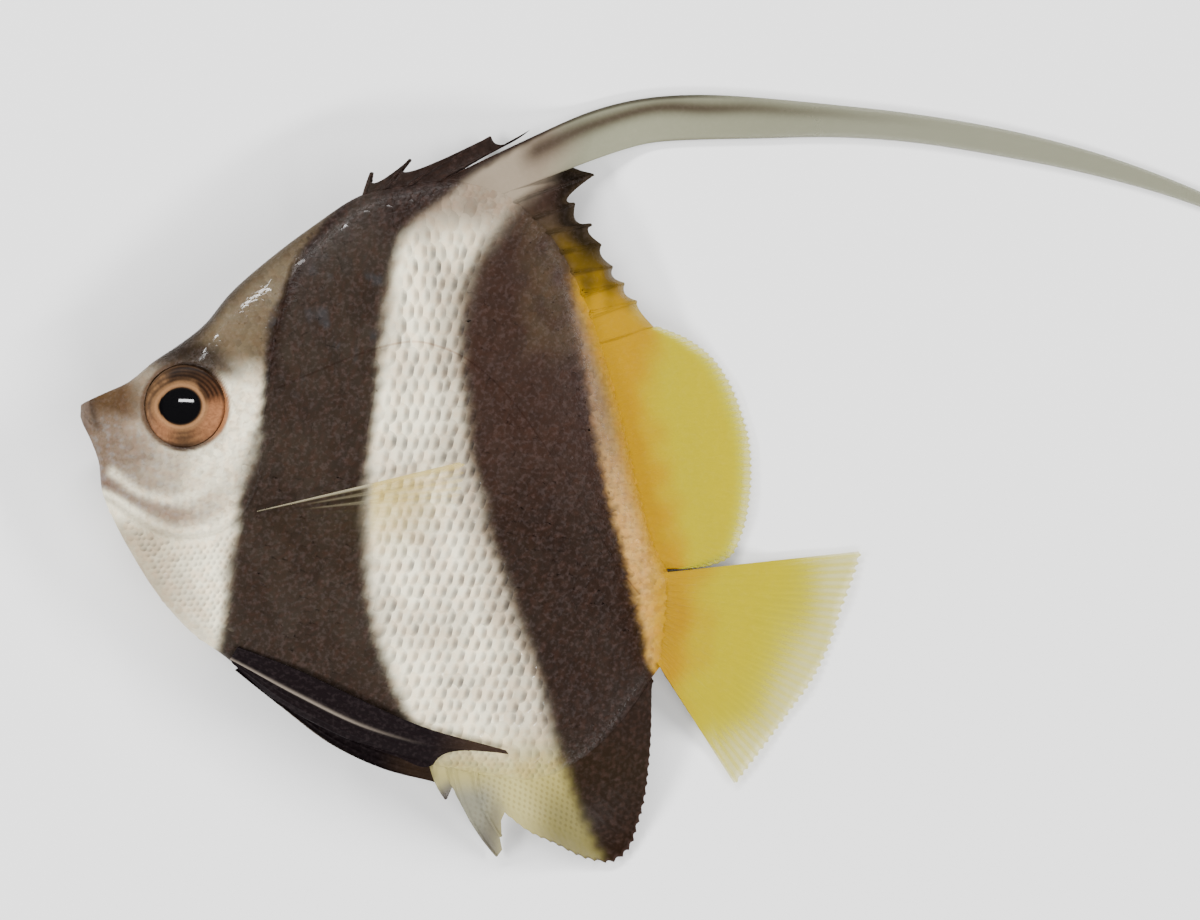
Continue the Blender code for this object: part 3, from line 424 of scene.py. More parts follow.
def fine_relief(x, y):
    """Finer forms cut into the skin: gill slit, cheek edge, orbit, lips and nostrils."""
    gill, side, along = near_curve(GILL_EDGE, x, y, 2.0)
    depth = 0.03 + 0.06 * smooth((along - 0.45) / 0.15)
    relief = -depth * bell(gill - 0.12, 0.22) * (side > 0)
    cheek, _, along = near_curve(CHEEK_EDGE, x, y, 1.5)
    relief = relief - 0.1 * bell(cheek, 0.35) * smooth(along / 0.1) * smooth((1 - along) / 0.1)
    from_eye = np.hypot(x - EYE_AT[0], y - EYE_AT[1]) - EYE_RADIUS
    relief = relief - SOCKET_DEPTH * smooth((0.04 - from_eye) / 0.5) + 0.03 * bell(from_eye - 0.45, 0.3)
    mouth, _, _ = near_curve(MOUTH_LINE, x, y, 1.2)
    relief = relief + 0.08 * bell(mouth - 0.35, 0.25) - 0.13 * bell(mouth, 0.14)
    groove, _, _ = near_curve(LIP_GROOVE, x, y, 1.2)
    relief = relief - 0.1 * bell(groove, 0.22)
    for nx, ny in NOSTRILS:
        distance = np.hypot(x - nx, y - ny)
        relief = relief + 0.07 * bell(distance - 0.3, 0.12) - 0.22 * bell(distance, 0.2)
    return relief


def middle_height(x):
    """Height of the body's middle plane: level, then sinking smoothly by TAIL_DROOP towards the tail."""
    return MID_HEIGHT - TAIL_DROOP * smooth((x - 36.0) / 24.0)


def resting_level(x, y):
    """Lowest height of the right flank: the table, or the fin pressed under it."""
    (cx, cy), (long_axis, short_axis), turn = PRESSED_ZONE
    along = (x - cx) * math.cos(turn) + (y - cy) * math.sin(turn)
    across = (y - cy) * math.cos(turn) - (x - cx) * math.sin(turn)
    return PRESSED_FIN * smooth((1.22 - np.hypot(along / long_axis, across / short_axis)) / 0.22)


def pressed(height, level):
    """The larger of height and level, with a parabola of FLAT_BLEND between them."""
    rise = height - level
    curve = (rise + FLAT_BLEND) ** 2 / (4 * FLAT_BLEND)
    return level + np.where(rise < -FLAT_BLEND, 0, np.where(rise > FLAT_BLEND, rise, curve))


def body_at(s, v, fine=False):
    """Plan place, upper height and lower height of the skin at station s and height v."""
    belly, back = belly_line(s), back_line(s)
    x, y = np.moveaxis(belly + (back - belly) * v[..., None], -1, 0)
    inner = smooth(np.minimum(v, 1 - v) / 0.08)
    half = half_thickness(s, v) + broad_relief(x, y, inner) - COAT
    if fine:
        half = half + fine_relief(x, y) * (0.35 + 0.65 * inner)
    middle = middle_height(x)
    return x, y, middle + half, pressed(middle - half, resting_level(x, y) + COAT)


def station_of(x, y):
    """Station and height of plan points, by halving the stretch in which the station line must lie."""
    low, high = np.zeros_like(x), np.ones_like(x)
    point = np.stack([x, y], axis=-1)
    for _ in range(24):
        s = (low + high) / 2
        belly = belly_line(s)
        line, off = back_line(s) - belly, point - belly
        ahead = line[..., 0] * off[..., 1] - line[..., 1] * off[..., 0] < 0
        low, high = np.where(ahead, s, low), np.where(ahead, high, s)
    return s, (line * off).sum(-1) / (line**2).sum(-1)


def body_faces(x, y, fine=False):
    """Upper and lower height of the skin at plan points; past the outline, those of its edge."""
    s, v = station_of(x, y)
    _, _, top, bottom = body_at(s, np.clip(v, 0, 1), fine)
    return top, bottom


def waver(x, y, size, seed):
    """Smooth irregular field between about -1 and 1: six sine waves in seeded directions."""
    draw = np.random.default_rng(seed)
    total = np.zeros_like(x)
    for _ in range(6):
        turn, phase = draw.uniform(0, 2 * math.pi), draw.uniform(0, 2 * math.pi)
        stretch = draw.uniform(0.7, 1.6)
        along = x * math.cos(turn) + y * math.sin(turn)
        total = total + np.sin(along * stretch / size * 2 * math.pi + phase)
    return total / 3


def between(front, rear, x, y):
    """1 between a band's two edges and 0 outside, over their soft distances, with a slightly uneven line.

    The power turns an even share of light into an even share of what the eye sees, so edges look centred.
    """
    ragged = 0.14 * waver(x, y, 1.7, 5)
    left = smooth((x - edge_at(front, y) + ragged) / edge_at(front, y, 2) + 0.5)
    right = smooth((edge_at(rear, y) - x + ragged) / edge_at(rear, y, 2) + 0.5)
    return 1 - (1 - left * right) ** 2.4


def markings(x, y):
    """Colours of the body and the fins' bases at plan points: bands, nape, snout, belly and golden rear."""
    colours = np.broadcast_to(light(PEARL), x.shape + (3,)).copy()
    patch = waver(x, y, 9.0, 11)
    colours = blend(colours, SILVER, 0.35 * smooth(0.5 + patch))
    # Painted shade, partly band 2's soft edge: the white band turns grey-brown towards band 2's front edge
    # and lower down.
    before_band = smooth((x - edge_at(BAND_2_FRONT, y) + 5.5) / 5.5) * smooth((x - 28.0) / 4.0)
    colours = blend(colours, DUSK, 0.6 * before_band * smooth((17.0 - y) / 6.0))
    front = edge_at(BAND_1_FRONT, y)
    nape = smooth((front - x + 1.6) / 1.4) * smooth((y - 0.6) / 4.5)
    colours = blend(colours, TAN, 0.94 * nape)
    back_height = np.interp(x, BACK[:, 0], BACK[:, 1])
    crest = nape * smooth(1 - (back_height - y) / 2.0) * smooth((x - 2.0) / 5.0)
    colours = blend(colours, OLIVE, crest * (0.55 + 0.4 * smooth((17.0 - x) / 5.0)))
    from_eye = np.hypot(x - EYE_AT[0], y - EYE_AT[1])
    over_eye = smooth((7.3 - from_eye) / 2.0) * smooth((y - 1.4) / 2.2) * smooth((x - 6.0) / 2.0)
    colours = blend(colours, OLIVE, 0.96 * over_eye)
    from_gill, side, along = from_curve(GILL_EDGE, x, y)
    inward = -from_gill * side
    head = smooth((inward + 0.6) / 1.6) * (1 - nape)
    dull = smooth(0.95 + 0.1 * waver(x, y, 5.5, 61) - (x - 4.0) / 15)
    colours = blend(colours, CHEEK, head * dull)
    colours = blend(colours, MUZZLE, 0.7 * head * smooth((6.5 - x) / 4.0))
    around = np.arctan2(y - EYE_AT[1], x - EYE_AT[0])
    # Painted highlight on silvery skin: a bright crescent behind and below the eye.
    crescent_highlight = bell(around + 0.5, 0.7) * bell(from_eye - 5.6 - 0.3 * waver(x, y, 3.0, 67), 1.0)
    colours = blend(colours, PEARL, 0.9 * crescent_highlight)
    # Painted highlights on silvery skin: pale lines along the gill cover's lower edge and along the cheek
    # edge.
    gill_edge_highlight = smooth((along - 0.5) / 0.1) * bell(inward - 0.45, 0.42)
    cheek_edge_highlight = 0.6 * bell(near_curve(CHEEK_EDGE, x, y, 2.0)[0], 0.5)
    # Painted shade: a pinkish-brown band inside the gill cover's lower edge.
    shade_under_cheek = smooth((along - 0.5) / 0.1) * bell(inward - 1.9, 0.8) * smooth((14.5 - x) / 5.0)
    colours = blend(colours, ROSE_SHADE, 0.6 * shade_under_cheek * head)
    colours = blend(colours, PEARL, np.maximum(gill_edge_highlight, cheek_edge_highlight) * head)
    throat = smooth((13.0 - x) / 7.0) * smooth((-9.5 - y) / 3.0)
    colours = blend(colours, THROAT, 0.75 * throat)
    sheen = head * smooth((9.5 - y) / 3.0)
    for sheen_colour, share, size, seed in ((COOL_SHEEN, 0.13, 1.3, 71), (WARM_SHEEN, 0.3, 1.2, 75)):
        cloud = waver(x, y, size, seed) + 0.7 * waver(x, y, 0.4 * size, seed + 2)
        colours = blend(colours, sheen_colour, share * sheen * smooth((cloud + 0.1) / 1.3))
    before_eye = smooth((9.5 - x) / 3.0) * smooth((y + 2.5) / 3.0) * (1 - over_eye)
    colours = blend(colours, BRIDGE, 0.8 * before_eye * head)
    snout = smooth((6.6 - x) / 3.0) * smooth((y + 1.0 + 0.2 * x) / 1.6)
    colours = blend(colours, SNOUT_BROWN, 0.92 * snout)
    groove, _, along_lip = near_curve(LIP_GROOVE, x - 0.25, y, 1.4)
    colours = blend(colours, LIP_SHADOW, 0.75 * bell(groove, 0.45) * smooth((1 - along_lip) / 0.3))
    orbit = smooth((EYE_RADIUS + 0.5 - from_eye) / 0.35)
    colours = blend(colours, ORBIT, 0.92 * orbit)
    colours = blend(colours, ORBIT_LIT, 0.9 * orbit * smooth(1.3 - np.abs(around + 0.15) / 0.8))
    colours = blend(colours, ORBIT_TOP, 0.95 * orbit * smooth(1.25 - np.abs(around - 1.3) / 0.8))
    colours = blend(colours, ORBIT_FOOT, 0.85 * orbit * smooth(1.1 - np.abs(around + 1.65) / 0.6))
    lip = smooth((1.0 - x) / 0.35) * smooth((x - edge_at(((3, 1.5), (-2.6, 1.0), (-3.5, -3)), y) + 9) / 4)
    colours = blend(colours, LIP_GREY, 0.8 * lip)
    rear = smooth((x - edge_at(BAND_2_REAR, y) + 1.6) / 1.0)
    colours = blend(colours, REAR_BEIGE, 0.97 * rear)
    edge = np.interp(y, BACK[:12:-1, 1], BACK[:12:-1, 0])
    colours = blend(colours, BEIGE, rear * smooth((x - edge_at(BAND_2_REAR, y)) / 2.4))
    colours = blend(colours, SAND, 0.9 * rear * smooth((1.0 - y) / 15.0))
    freckles = smooth((waver(x, y, 0.9, 51) + waver(x, y, 0.5, 53) - 0.1) / 1.1)
    colours = blend(colours, FRECKLE, 0.4 * rear * freckles)
    golden = rear * smooth((x - edge + 1.6) / 1.8) * smooth((15.0 - y) / 5.0)
    colours = blend(colours, GOLD, golden)
    pale = smooth((-29.5 - y) / 6.0) * (1 - rear)
    colours = blend(colours, ANAL_PALE, 0.85 * pale)
    colours = blend(colours, ANAL_OLIVE, 0.8 * smooth((-33.5 - y) / 6.0) * smooth((x - 41.5) / 4.0))
    stalk = rear * smooth((x - 51.5) / 3.5) * smooth((-10.0 - y) / 5.0)
    colours = blend(colours, HONEY, 0.55 * stalk * smooth(0.8 + 0.5 * waver(x, y, 1.4, 63)))
    colours = blend(colours, GOLD, 0.8 * rear * smooth((x - 53.4) / 2.0) * smooth((-12.0 - y) / 3.0))
    colours = blend(colours, ASH, 0.9 * smooth((y - 13.5) / 5.5) * smooth((x - 27.0) / 3.0))
    first, second = (between(*edges, x, y) for edges in BANDS)
    slate_patches = smooth((waver(x, y, 5.0, 23) + waver(x, y, 2.1, 29) - 0.9) / 0.8)
    grey = second * smooth((x - 40.5) / 3.0) * smooth((y - 2.5) / 5.0) * smooth((20.0 - y) / 3.0)
    colours = blend(colours, BAND, np.maximum(first, second) * 0.985)
    mottle = smooth((waver(x, y, 1.1, 97) + waver(x, y, 0.6, 99)) / 1.2)
    colours = blend(colours, UMBER, 0.4 * mottle * np.maximum(first, second))
    colours = blend(colours, UMBER, 0.4 * second * smooth((y + 14.0) / 12.0))
    # Bluish-grey patches over the upper part of band 1.
    colours = blend(colours, SLATE, 0.5 * first * slate_patches * smooth((y + 2.0) / 8.0) * smooth((16.0 - y) / 4.0))
    colours = blend(colours, SMOKE, 0.62 * grey * smooth(0.85 + 0.6 * waver(x, y, 3.6, 19)))
    return colours


def wetness(x, y, margin):
    """How much of a water film lies on the skin: uneven patches that thin out towards the fish's outline."""
    patches = smooth((waver(x, y, 7.0, 91) + 0.7 * waver(x, y, 2.4, 93) + 0.1) / 0.8)
    rear = smooth((x - edge_at(BAND_2_REAR, y) + 4.0) / 3.0)
    from_eye = np.hypot(x - EYE_AT[0], y - EYE_AT[1]) - EYE_RADIUS
    gill = near_curve(GILL_EDGE, x, y, 2.0)[0]
    dry = smooth((x - 6.0) / 5.0) * (1 - rear) * smooth((from_eye - 0.5) / 1.5) * smooth((gill - 0.3) / 1.0)
    return 0.01 + 0.55 * patches * smooth((margin - 1.2) / 3.0) * dry


def set_colours(mesh, colours):
    """Stores one colour for each vertex, which the materials read as Tint."""
    rgba = np.concatenate([colours.reshape(-1, 3), np.ones((colours.size // 3, 1))], axis=1)
    layer = mesh.attributes.new("Tint", "FLOAT_COLOR", "POINT")
    layer.data.foreach_set("color", rgba.astype(np.float32).ravel())


def set_values(mesh, name, values):
    """Stores one number for each vertex under a name."""
    layer = mesh.attributes.new(name, "FLOAT", "POINT")
    layer.data.foreach_set("value", np.asarray(values, np.float32).ravel())


def placed(name, data):
    """A new object of the scene that carries the data."""
    obj = bpy.data.objects.new(name, data)
    bpy.context.scene.collection.objects.link(obj)
    return obj


def piece(name, points, faces, material):
    """A smooth mesh piece that rides with the fish; faces may be a list of equal-length index arrays."""
    mesh = bpy.data.meshes.new(name)
    groups = faces if isinstance(faces, list) else [faces]
    sizes = np.concatenate([np.full(len(group), group.shape[1]) for group in groups])
    corners = np.concatenate([group.ravel() for group in groups])
    mesh.vertices.add(len(points))
    mesh.vertices.foreach_set("co", np.asarray(points, np.float32).ravel())
    mesh.loops.add(len(corners))
    mesh.loops.foreach_set("vertex_index", corners.astype(np.int32))
    mesh.polygons.add(len(sizes))
    mesh.polygons.foreach_set("loop_start", (np.cumsum(sizes) - sizes).astype(np.int32))
    mesh.update(calc_edges=True)
    mesh.validate()
    mesh.shade_smooth()
    mesh.materials.append(material)
    obj = placed(name, mesh)
    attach(obj, "root")
    return obj


def two_faced(name, upper, lower, material):
    """A closed sheet between two grids of points, with a strip of faces round the border."""
    rows, columns = upper.shape[:2]
    index = np.arange(rows * columns).reshape(rows, columns)
    quads = np.stack([index[:-1, :-1], index[1:, :-1], index[1:, 1:], index[:-1, 1:]], -1).reshape(-1, 4)
    border = np.concatenate([index[0], index[1:, -1], index[-1, -2::-1], index[-2:0:-1, 0]])
    ahead = np.roll(border, -1)
    far = rows * columns
    walls = np.stack([border, ahead, ahead + far, border + far], -1)
    points = np.concatenate([upper.reshape(-1, 3), lower.reshape(-1, 3)])
    first = quads[0]
    turned = np.cross(points[first[1]] - points[first[0]], points[first[3]] - points[first[0]])[2] < 0
    faces = np.concatenate([quads, quads[:, ::-1] + far, walls])
    if turned:
        faces = faces[:, ::-1]
    return piece(name, points, faces, material)


class Field:
    """A socket of a material that can be added and multiplied, so that shader maths reads as maths."""

    def __init__(self, finish, socket):
        self.finish = finish
        self.socket = socket

    def _maths(self, operation, first, second):
        node = self.finish.node("ShaderNodeMath", {"operation": operation}, {0: first, 1: second})
        return Field(self.finish, node.outputs[0])

    def __add__(self, other):
        return self._maths("ADD", self, other)

    def __sub__(self, other):
        return self._maths("SUBTRACT", self, other)

    def __rsub__(self, other):
        return self._maths("SUBTRACT", other, self)

    def __mul__(self, other):
        return self._maths("MULTIPLY", self, other)

    def sine(self):
        """The sine of the value in radians."""
        return self._maths("SINE", self, 0.0)

    __radd__ = __add__
    __rmul__ = __mul__

    def step(self, low, high):
        """0 below low, 1 above high, smooth between."""
        node = self.finish.node(
            "ShaderNodeMapRange", {"interpolation_type": "SMOOTHSTEP"}, {"Value": self, 1: low, 2: high}
        )
        return Field(self.finish, node.outputs[0])


class Finish:
    """A material under construction, with its Principled shader as surface."""

    def __init__(self, name, **constants):
        self.material = bpy.data.materials.new(name)
        self.material.use_nodes = True
        self.tree = self.material.node_tree
        self.surface = self.tree.nodes["Principled BSDF"]
        for socket, value in constants.items():
            self.surface.inputs[socket.replace("_", " ")].default_value = value
        self.place = self.node("ShaderNodeTexCoord", {}, {}).outputs["Object"]

    def node(self, kind, settings, sockets):
        """A node of that kind, with its settings made first and then its sockets' values or links."""
        made = self.tree.nodes.new(kind)
        for key, value in settings.items():
            setattr(made, key, value)
        for key, value in sockets.items():
            self.join(made.inputs[key], value)
        return made

    def join(self, socket, value):
        """Links a field or a socket to a socket, or sets the socket to a constant."""
        if isinstance(value, Field):
            value = value.socket
        if isinstance(value, bpy.types.NodeSocket):
            self.tree.links.new(value, socket)
        else:
            socket.default_value = value

    def noise(self, size, detail=3.0, roughness=0.55):
        """Cloudy noise from 0 to 1 whose lumps are about size millimetres across."""
        made = self.node(
            "ShaderNodeTexNoise",
            {},
            {"Vector": self.place, "Scale": 1 / (size * MM), "Detail": detail, "Roughness": roughness},
        )
        return Field(self, made.outputs["Fac"])

    def lattice(self, pitch, slant):
        """Staggered spots from 0 to 1 in plan, as the rims of small scales show, in rows at a slant."""
        axes = self.node("ShaderNodeSeparateXYZ", {}, {0: self.place}).outputs
        x, y = Field(self, axes[0]), Field(self, axes[1])
        along, across = x * math.cos(slant) + y * math.sin(slant), y * math.cos(slant) - x * math.sin(slant)
        turn = 2 * math.pi / (pitch * MM)
        return ((along * turn * 0.7).sine() * (across * turn).sine()).step(-0.1, 0.9)

    def speckle(self, colour, glow):
        """Gives the surface a base colour to which specks 0.4 mm across add the light of glow."""
        specks = self.noise(0.4, 2.0).step(0.46, 0.68)
        self.set(Base_Color=self.mix(colour, (*glow, 1.0), specks, "ADD"))

    def value(self, name):
        """The number stored in the mesh under that name."""
        return Field(self, self.node("ShaderNodeAttribute", {"attribute_name": name}, {}).outputs["Fac"])

    def tint(self):
        """The colour stored in the mesh."""
        return self.node("ShaderNodeAttribute", {"attribute_name": "Tint"}, {}).outputs["Color"]

    def mix(self, first, second, factor, kind="MIX"):
        """Two colours mixed, or blended another way, by a factor."""
        made = self.node(
            "ShaderNodeMix", {"data_type": "RGBA", "blend_type": kind}, {0: factor, 6: first, 7: second}
        )
        return made.outputs[2]

    def set(self, **sockets):
        """Joins values to the surface's sockets, whose names have low lines in place of spaces."""
        for name, value in sockets.items():
            self.join(self.surface.inputs[name.replace("_", " ")], value)

    def bump(self, height, distance):
        """Tilts the surface's normal as a relief of that height over distance millimetres would."""
        made = self.node(
            "ShaderNodeBump", {}, {"Height": height, "Distance": distance * MM, "Strength": 1.0}
        )
        self.join(self.surface.inputs["Normal"], made.outputs["Normal"])


def grey(share):
    """A neutral colour that gives back that share of the light."""
    return (share, share, share, 1.0)


def skin_finish():
    """Wet skin: the stored markings with fine mottling, and a film of water over it."""
    finish = Finish("wet_skin", Coat_Roughness=0.06, Specular_IOR_Level=0.05)
    finish.set(Coat_Weight=finish.value("Wet"))
    cloud, grain = finish.noise(1.3), finish.noise(0.3, 2.0)
    mottled = finish.mix(finish.tint(), (0.74, 0.66, 0.6, 1.0), cloud.step(0.42, 0.66) * 0.45, "MULTIPLY")
    grained = finish.mix(mottled, grey(0.7), grain.step(0.4, 0.7) * 0.5, "MULTIPLY")
    finish.speckle(grained, SKIN_GLOW)
    finish.set(Roughness=0.26 + cloud * 0.12)
    finish.bump(grain * 0.8 + finish.noise(1.6) * 1.0, 0.1)
    return finish.material


def scale_finish():
    """Wet scales: markings, painted shade at each scale's rear rim and sides, a pearly middle, a darker
    thread on the lateral line and fine bumps.
    """
    finish = Finish("wet_scales", Coat_Roughness=0.07, Specular_IOR_Level=0.05)
    finish.set(Coat_Weight=finish.value("Wet"))
    rim, luck = finish.value("RimShade"), finish.value("Luck")
    cloud, sheen = finish.noise(3.0), finish.noise(1.1, 2.0)
    pearly = finish.mix(finish.tint(), (1.0, 0.9, 0.84, 1.0), sheen.step(0.4, 0.62) * 0.8, "MULTIPLY")
    # Painted shade: each scale's rear rim and sides are darkened grey, as in the pockets between scales.
    depth = rim.step(0.0, 1.0) * (0.5 + cloud * 0.7 * luck.step(-0.5, 0.8))
    shaded = finish.mix(pearly, (0.2, 0.2, 0.22, 1.0), depth, "MULTIPLY")
    varied = finish.mix(shaded, grey(0.62), (luck * 0.5 + cloud * 0.6).step(0.45, 0.95) * 0.5, "MULTIPLY")
    line = finish.value("Line")
    thread = 1 - (line * line).step(0.001, 0.02)
    lined = finish.mix(varied, (0.6, 0.46, 0.4, 1.0), thread * (0.3 + cloud * 0.5), "MULTIPLY")
    finish.speckle(lined, SKIN_GLOW)
    finish.set(Roughness=0.32 + luck * 0.08)
    finish.bump(finish.noise(0.22, 2.0) * 0.5 + finish.noise(2.0) * 1.0, 0.06)
    return finish.material


def fin_finish(name):
    """Moist fin: stored colour and clearness, streaked along the rays."""
    finish = Finish(name, Coat_Weight=0.01, Coat_Roughness=0.15, Specular_IOR_Level=0.02)
    ray = finish.value("Ray")
    streaked = finish.mix(finish.tint(), grey(0.78), finish.noise(0.9) * 0.35, "MULTIPLY")
    sheath = finish.value("Sheath") * finish.lattice(0.62, math.radians(-60))
    netted = finish.mix(streaked, (0.5, 0.46, 0.4, 1.0), sheath, "MULTIPLY")
    finish.speckle(netted, FIN_GLOW)
    finish.set(Alpha=1 - finish.value("Clear") * (1 - ray * 0.3))
    finish.set(Roughness=0.4 + finish.noise(0.8) * 0.1)
    finish.bump(finish.noise(0.5) * 0.7 + finish.noise(0.15, 2.0) * 0.3, 0.05)
    return finish.material


def eye_finish():
    """Wet eyeball: stored iris and pupil colours under a glossy cornea."""
    finish = Finish("wet_eye", Coat_Roughness=0.02, Roughness=0.3, Specular_IOR_Level=0.02)
    finish.set(Coat_Weight=finish.value("Wet"))
    fleck = finish.noise(0.18, 2.0)
    finish.set(Base_Color=finish.mix(finish.tint(), grey(0.5), fleck.step(0.45, 0.7) * 0.3, "MULTIPLY"))
    return finish.material


def skin(material):
    """Head, trunk and tail stalk as one closed skin over the station lines, with the fine relief in it."""
    along = np.linspace(0, 1, SKIN_ALONG) ** SKIN_EASE
    even = np.linspace(0, 1, SKIN_ACROSS)
    bunched = (1 - np.cos(even * math.pi)) / 2
    s, v = np.meshgrid(along, bunched * 0.6 + even * 0.4, indexing="ij")
    x, y, top, bottom = body_at(s, v, fine=True)
    obj = two_faced("skin", world(x, y, top), world(x, y, bottom), material)
    colours = markings(x, y)
    set_colours(obj.data, np.stack([colours, colours]))
    across = np.linalg.norm(back_line(s) - belly_line(s), axis=-1)
    wet = wetness(x, y, np.minimum(v, 1 - v) * across)
    set_values(obj.data, "Wet", np.stack([wet, wet]))
    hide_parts("head", "trunk", "tail_stalk")
    return obj


def lie(x, y):
    """Direction in which scales point: along the lines of equal height on the body."""
    s, v = station_of(x, y)
    v = np.clip(v, 0.02, 0.98)[..., None]
    here = np.clip(s, 0, 0.985)
    ahead = here + 0.01
    start = belly_line(here) + (back_line(here) - belly_line(here)) * v
    end = belly_line(ahead) + (back_line(ahead) - belly_line(ahead)) * v
    run = end - start
    return run / np.linalg.norm(run, axis=-1, keepdims=True)


def scale_roots():
    """Places and sizes of the scales: staggered rows, large on the trunk, small on head and fin bases."""
    draw = np.random.default_rng(4)
    found = []
    for zone, pitch, upper, lower in SCALE_ZONES:
        rows, columns = int(124 / (upper + lower)), int(60 / pitch)
        row, column = np.meshgrid(np.arange(rows), np.arange(columns), indexing="ij")
        tall = np.linspace(upper, lower, rows)
        x = (column + 0.5 * (row % 2)) * pitch + draw.normal(0, 0.085 * pitch, row.shape)
        y = 24.0 - np.cumsum(tall)[row] + draw.normal(0, 0.075 * pitch, row.shape)
        y = y + 0.9 * np.sin(x / 17.0)
        x, y, tall = x.ravel(), y.ravel(), tall[row].ravel()
        s, v = station_of(x, y)
        start, end = belly_line(s), back_line(s)
        height = np.linalg.norm(end - start, axis=-1)
        margin = np.minimum(v, 1 - v) * height
        gill, side, _ = from_curve(GILL_EDGE, x, y)
        behind = side > 0
        clear_of_rim = margin > np.where((x < 31) & (y > 8), NAPE_CLEARANCE, RIM_CLEARANCE)
        inside = (v > 0) & (v < 1) & (s > 0.001) & (s < 0.995) & clear_of_rim
        from_eye = np.hypot(x - EYE_AT[0], y - EYE_AT[1]) - EYE_RADIUS
        bare = (from_eye < 0.75) | (x + 0.3 * y < 3.4)
        throat = behind & (y < -8) & (x < edge_at(BAND_1_FRONT, y) - 0.5)
        fin_base = ((margin < 2.2) & ~throat) | (x > edge_at(BAND_2_REAR, y) + 0.3)
        if zone == "trunk":
            keep = inside & behind & ~fin_base & ~throat & (gill > 0.66)
        elif zone == "edge":
            keep = inside & behind & fin_base
        else:
            keep = inside & ((~behind & ~bare & (margin > 0.9)) | throat) & (gill > 0.5)
        found.append(np.stack([x, y, np.full(x.shape, pitch), tall, margin], -1)[keep])
    return np.concatenate(found)


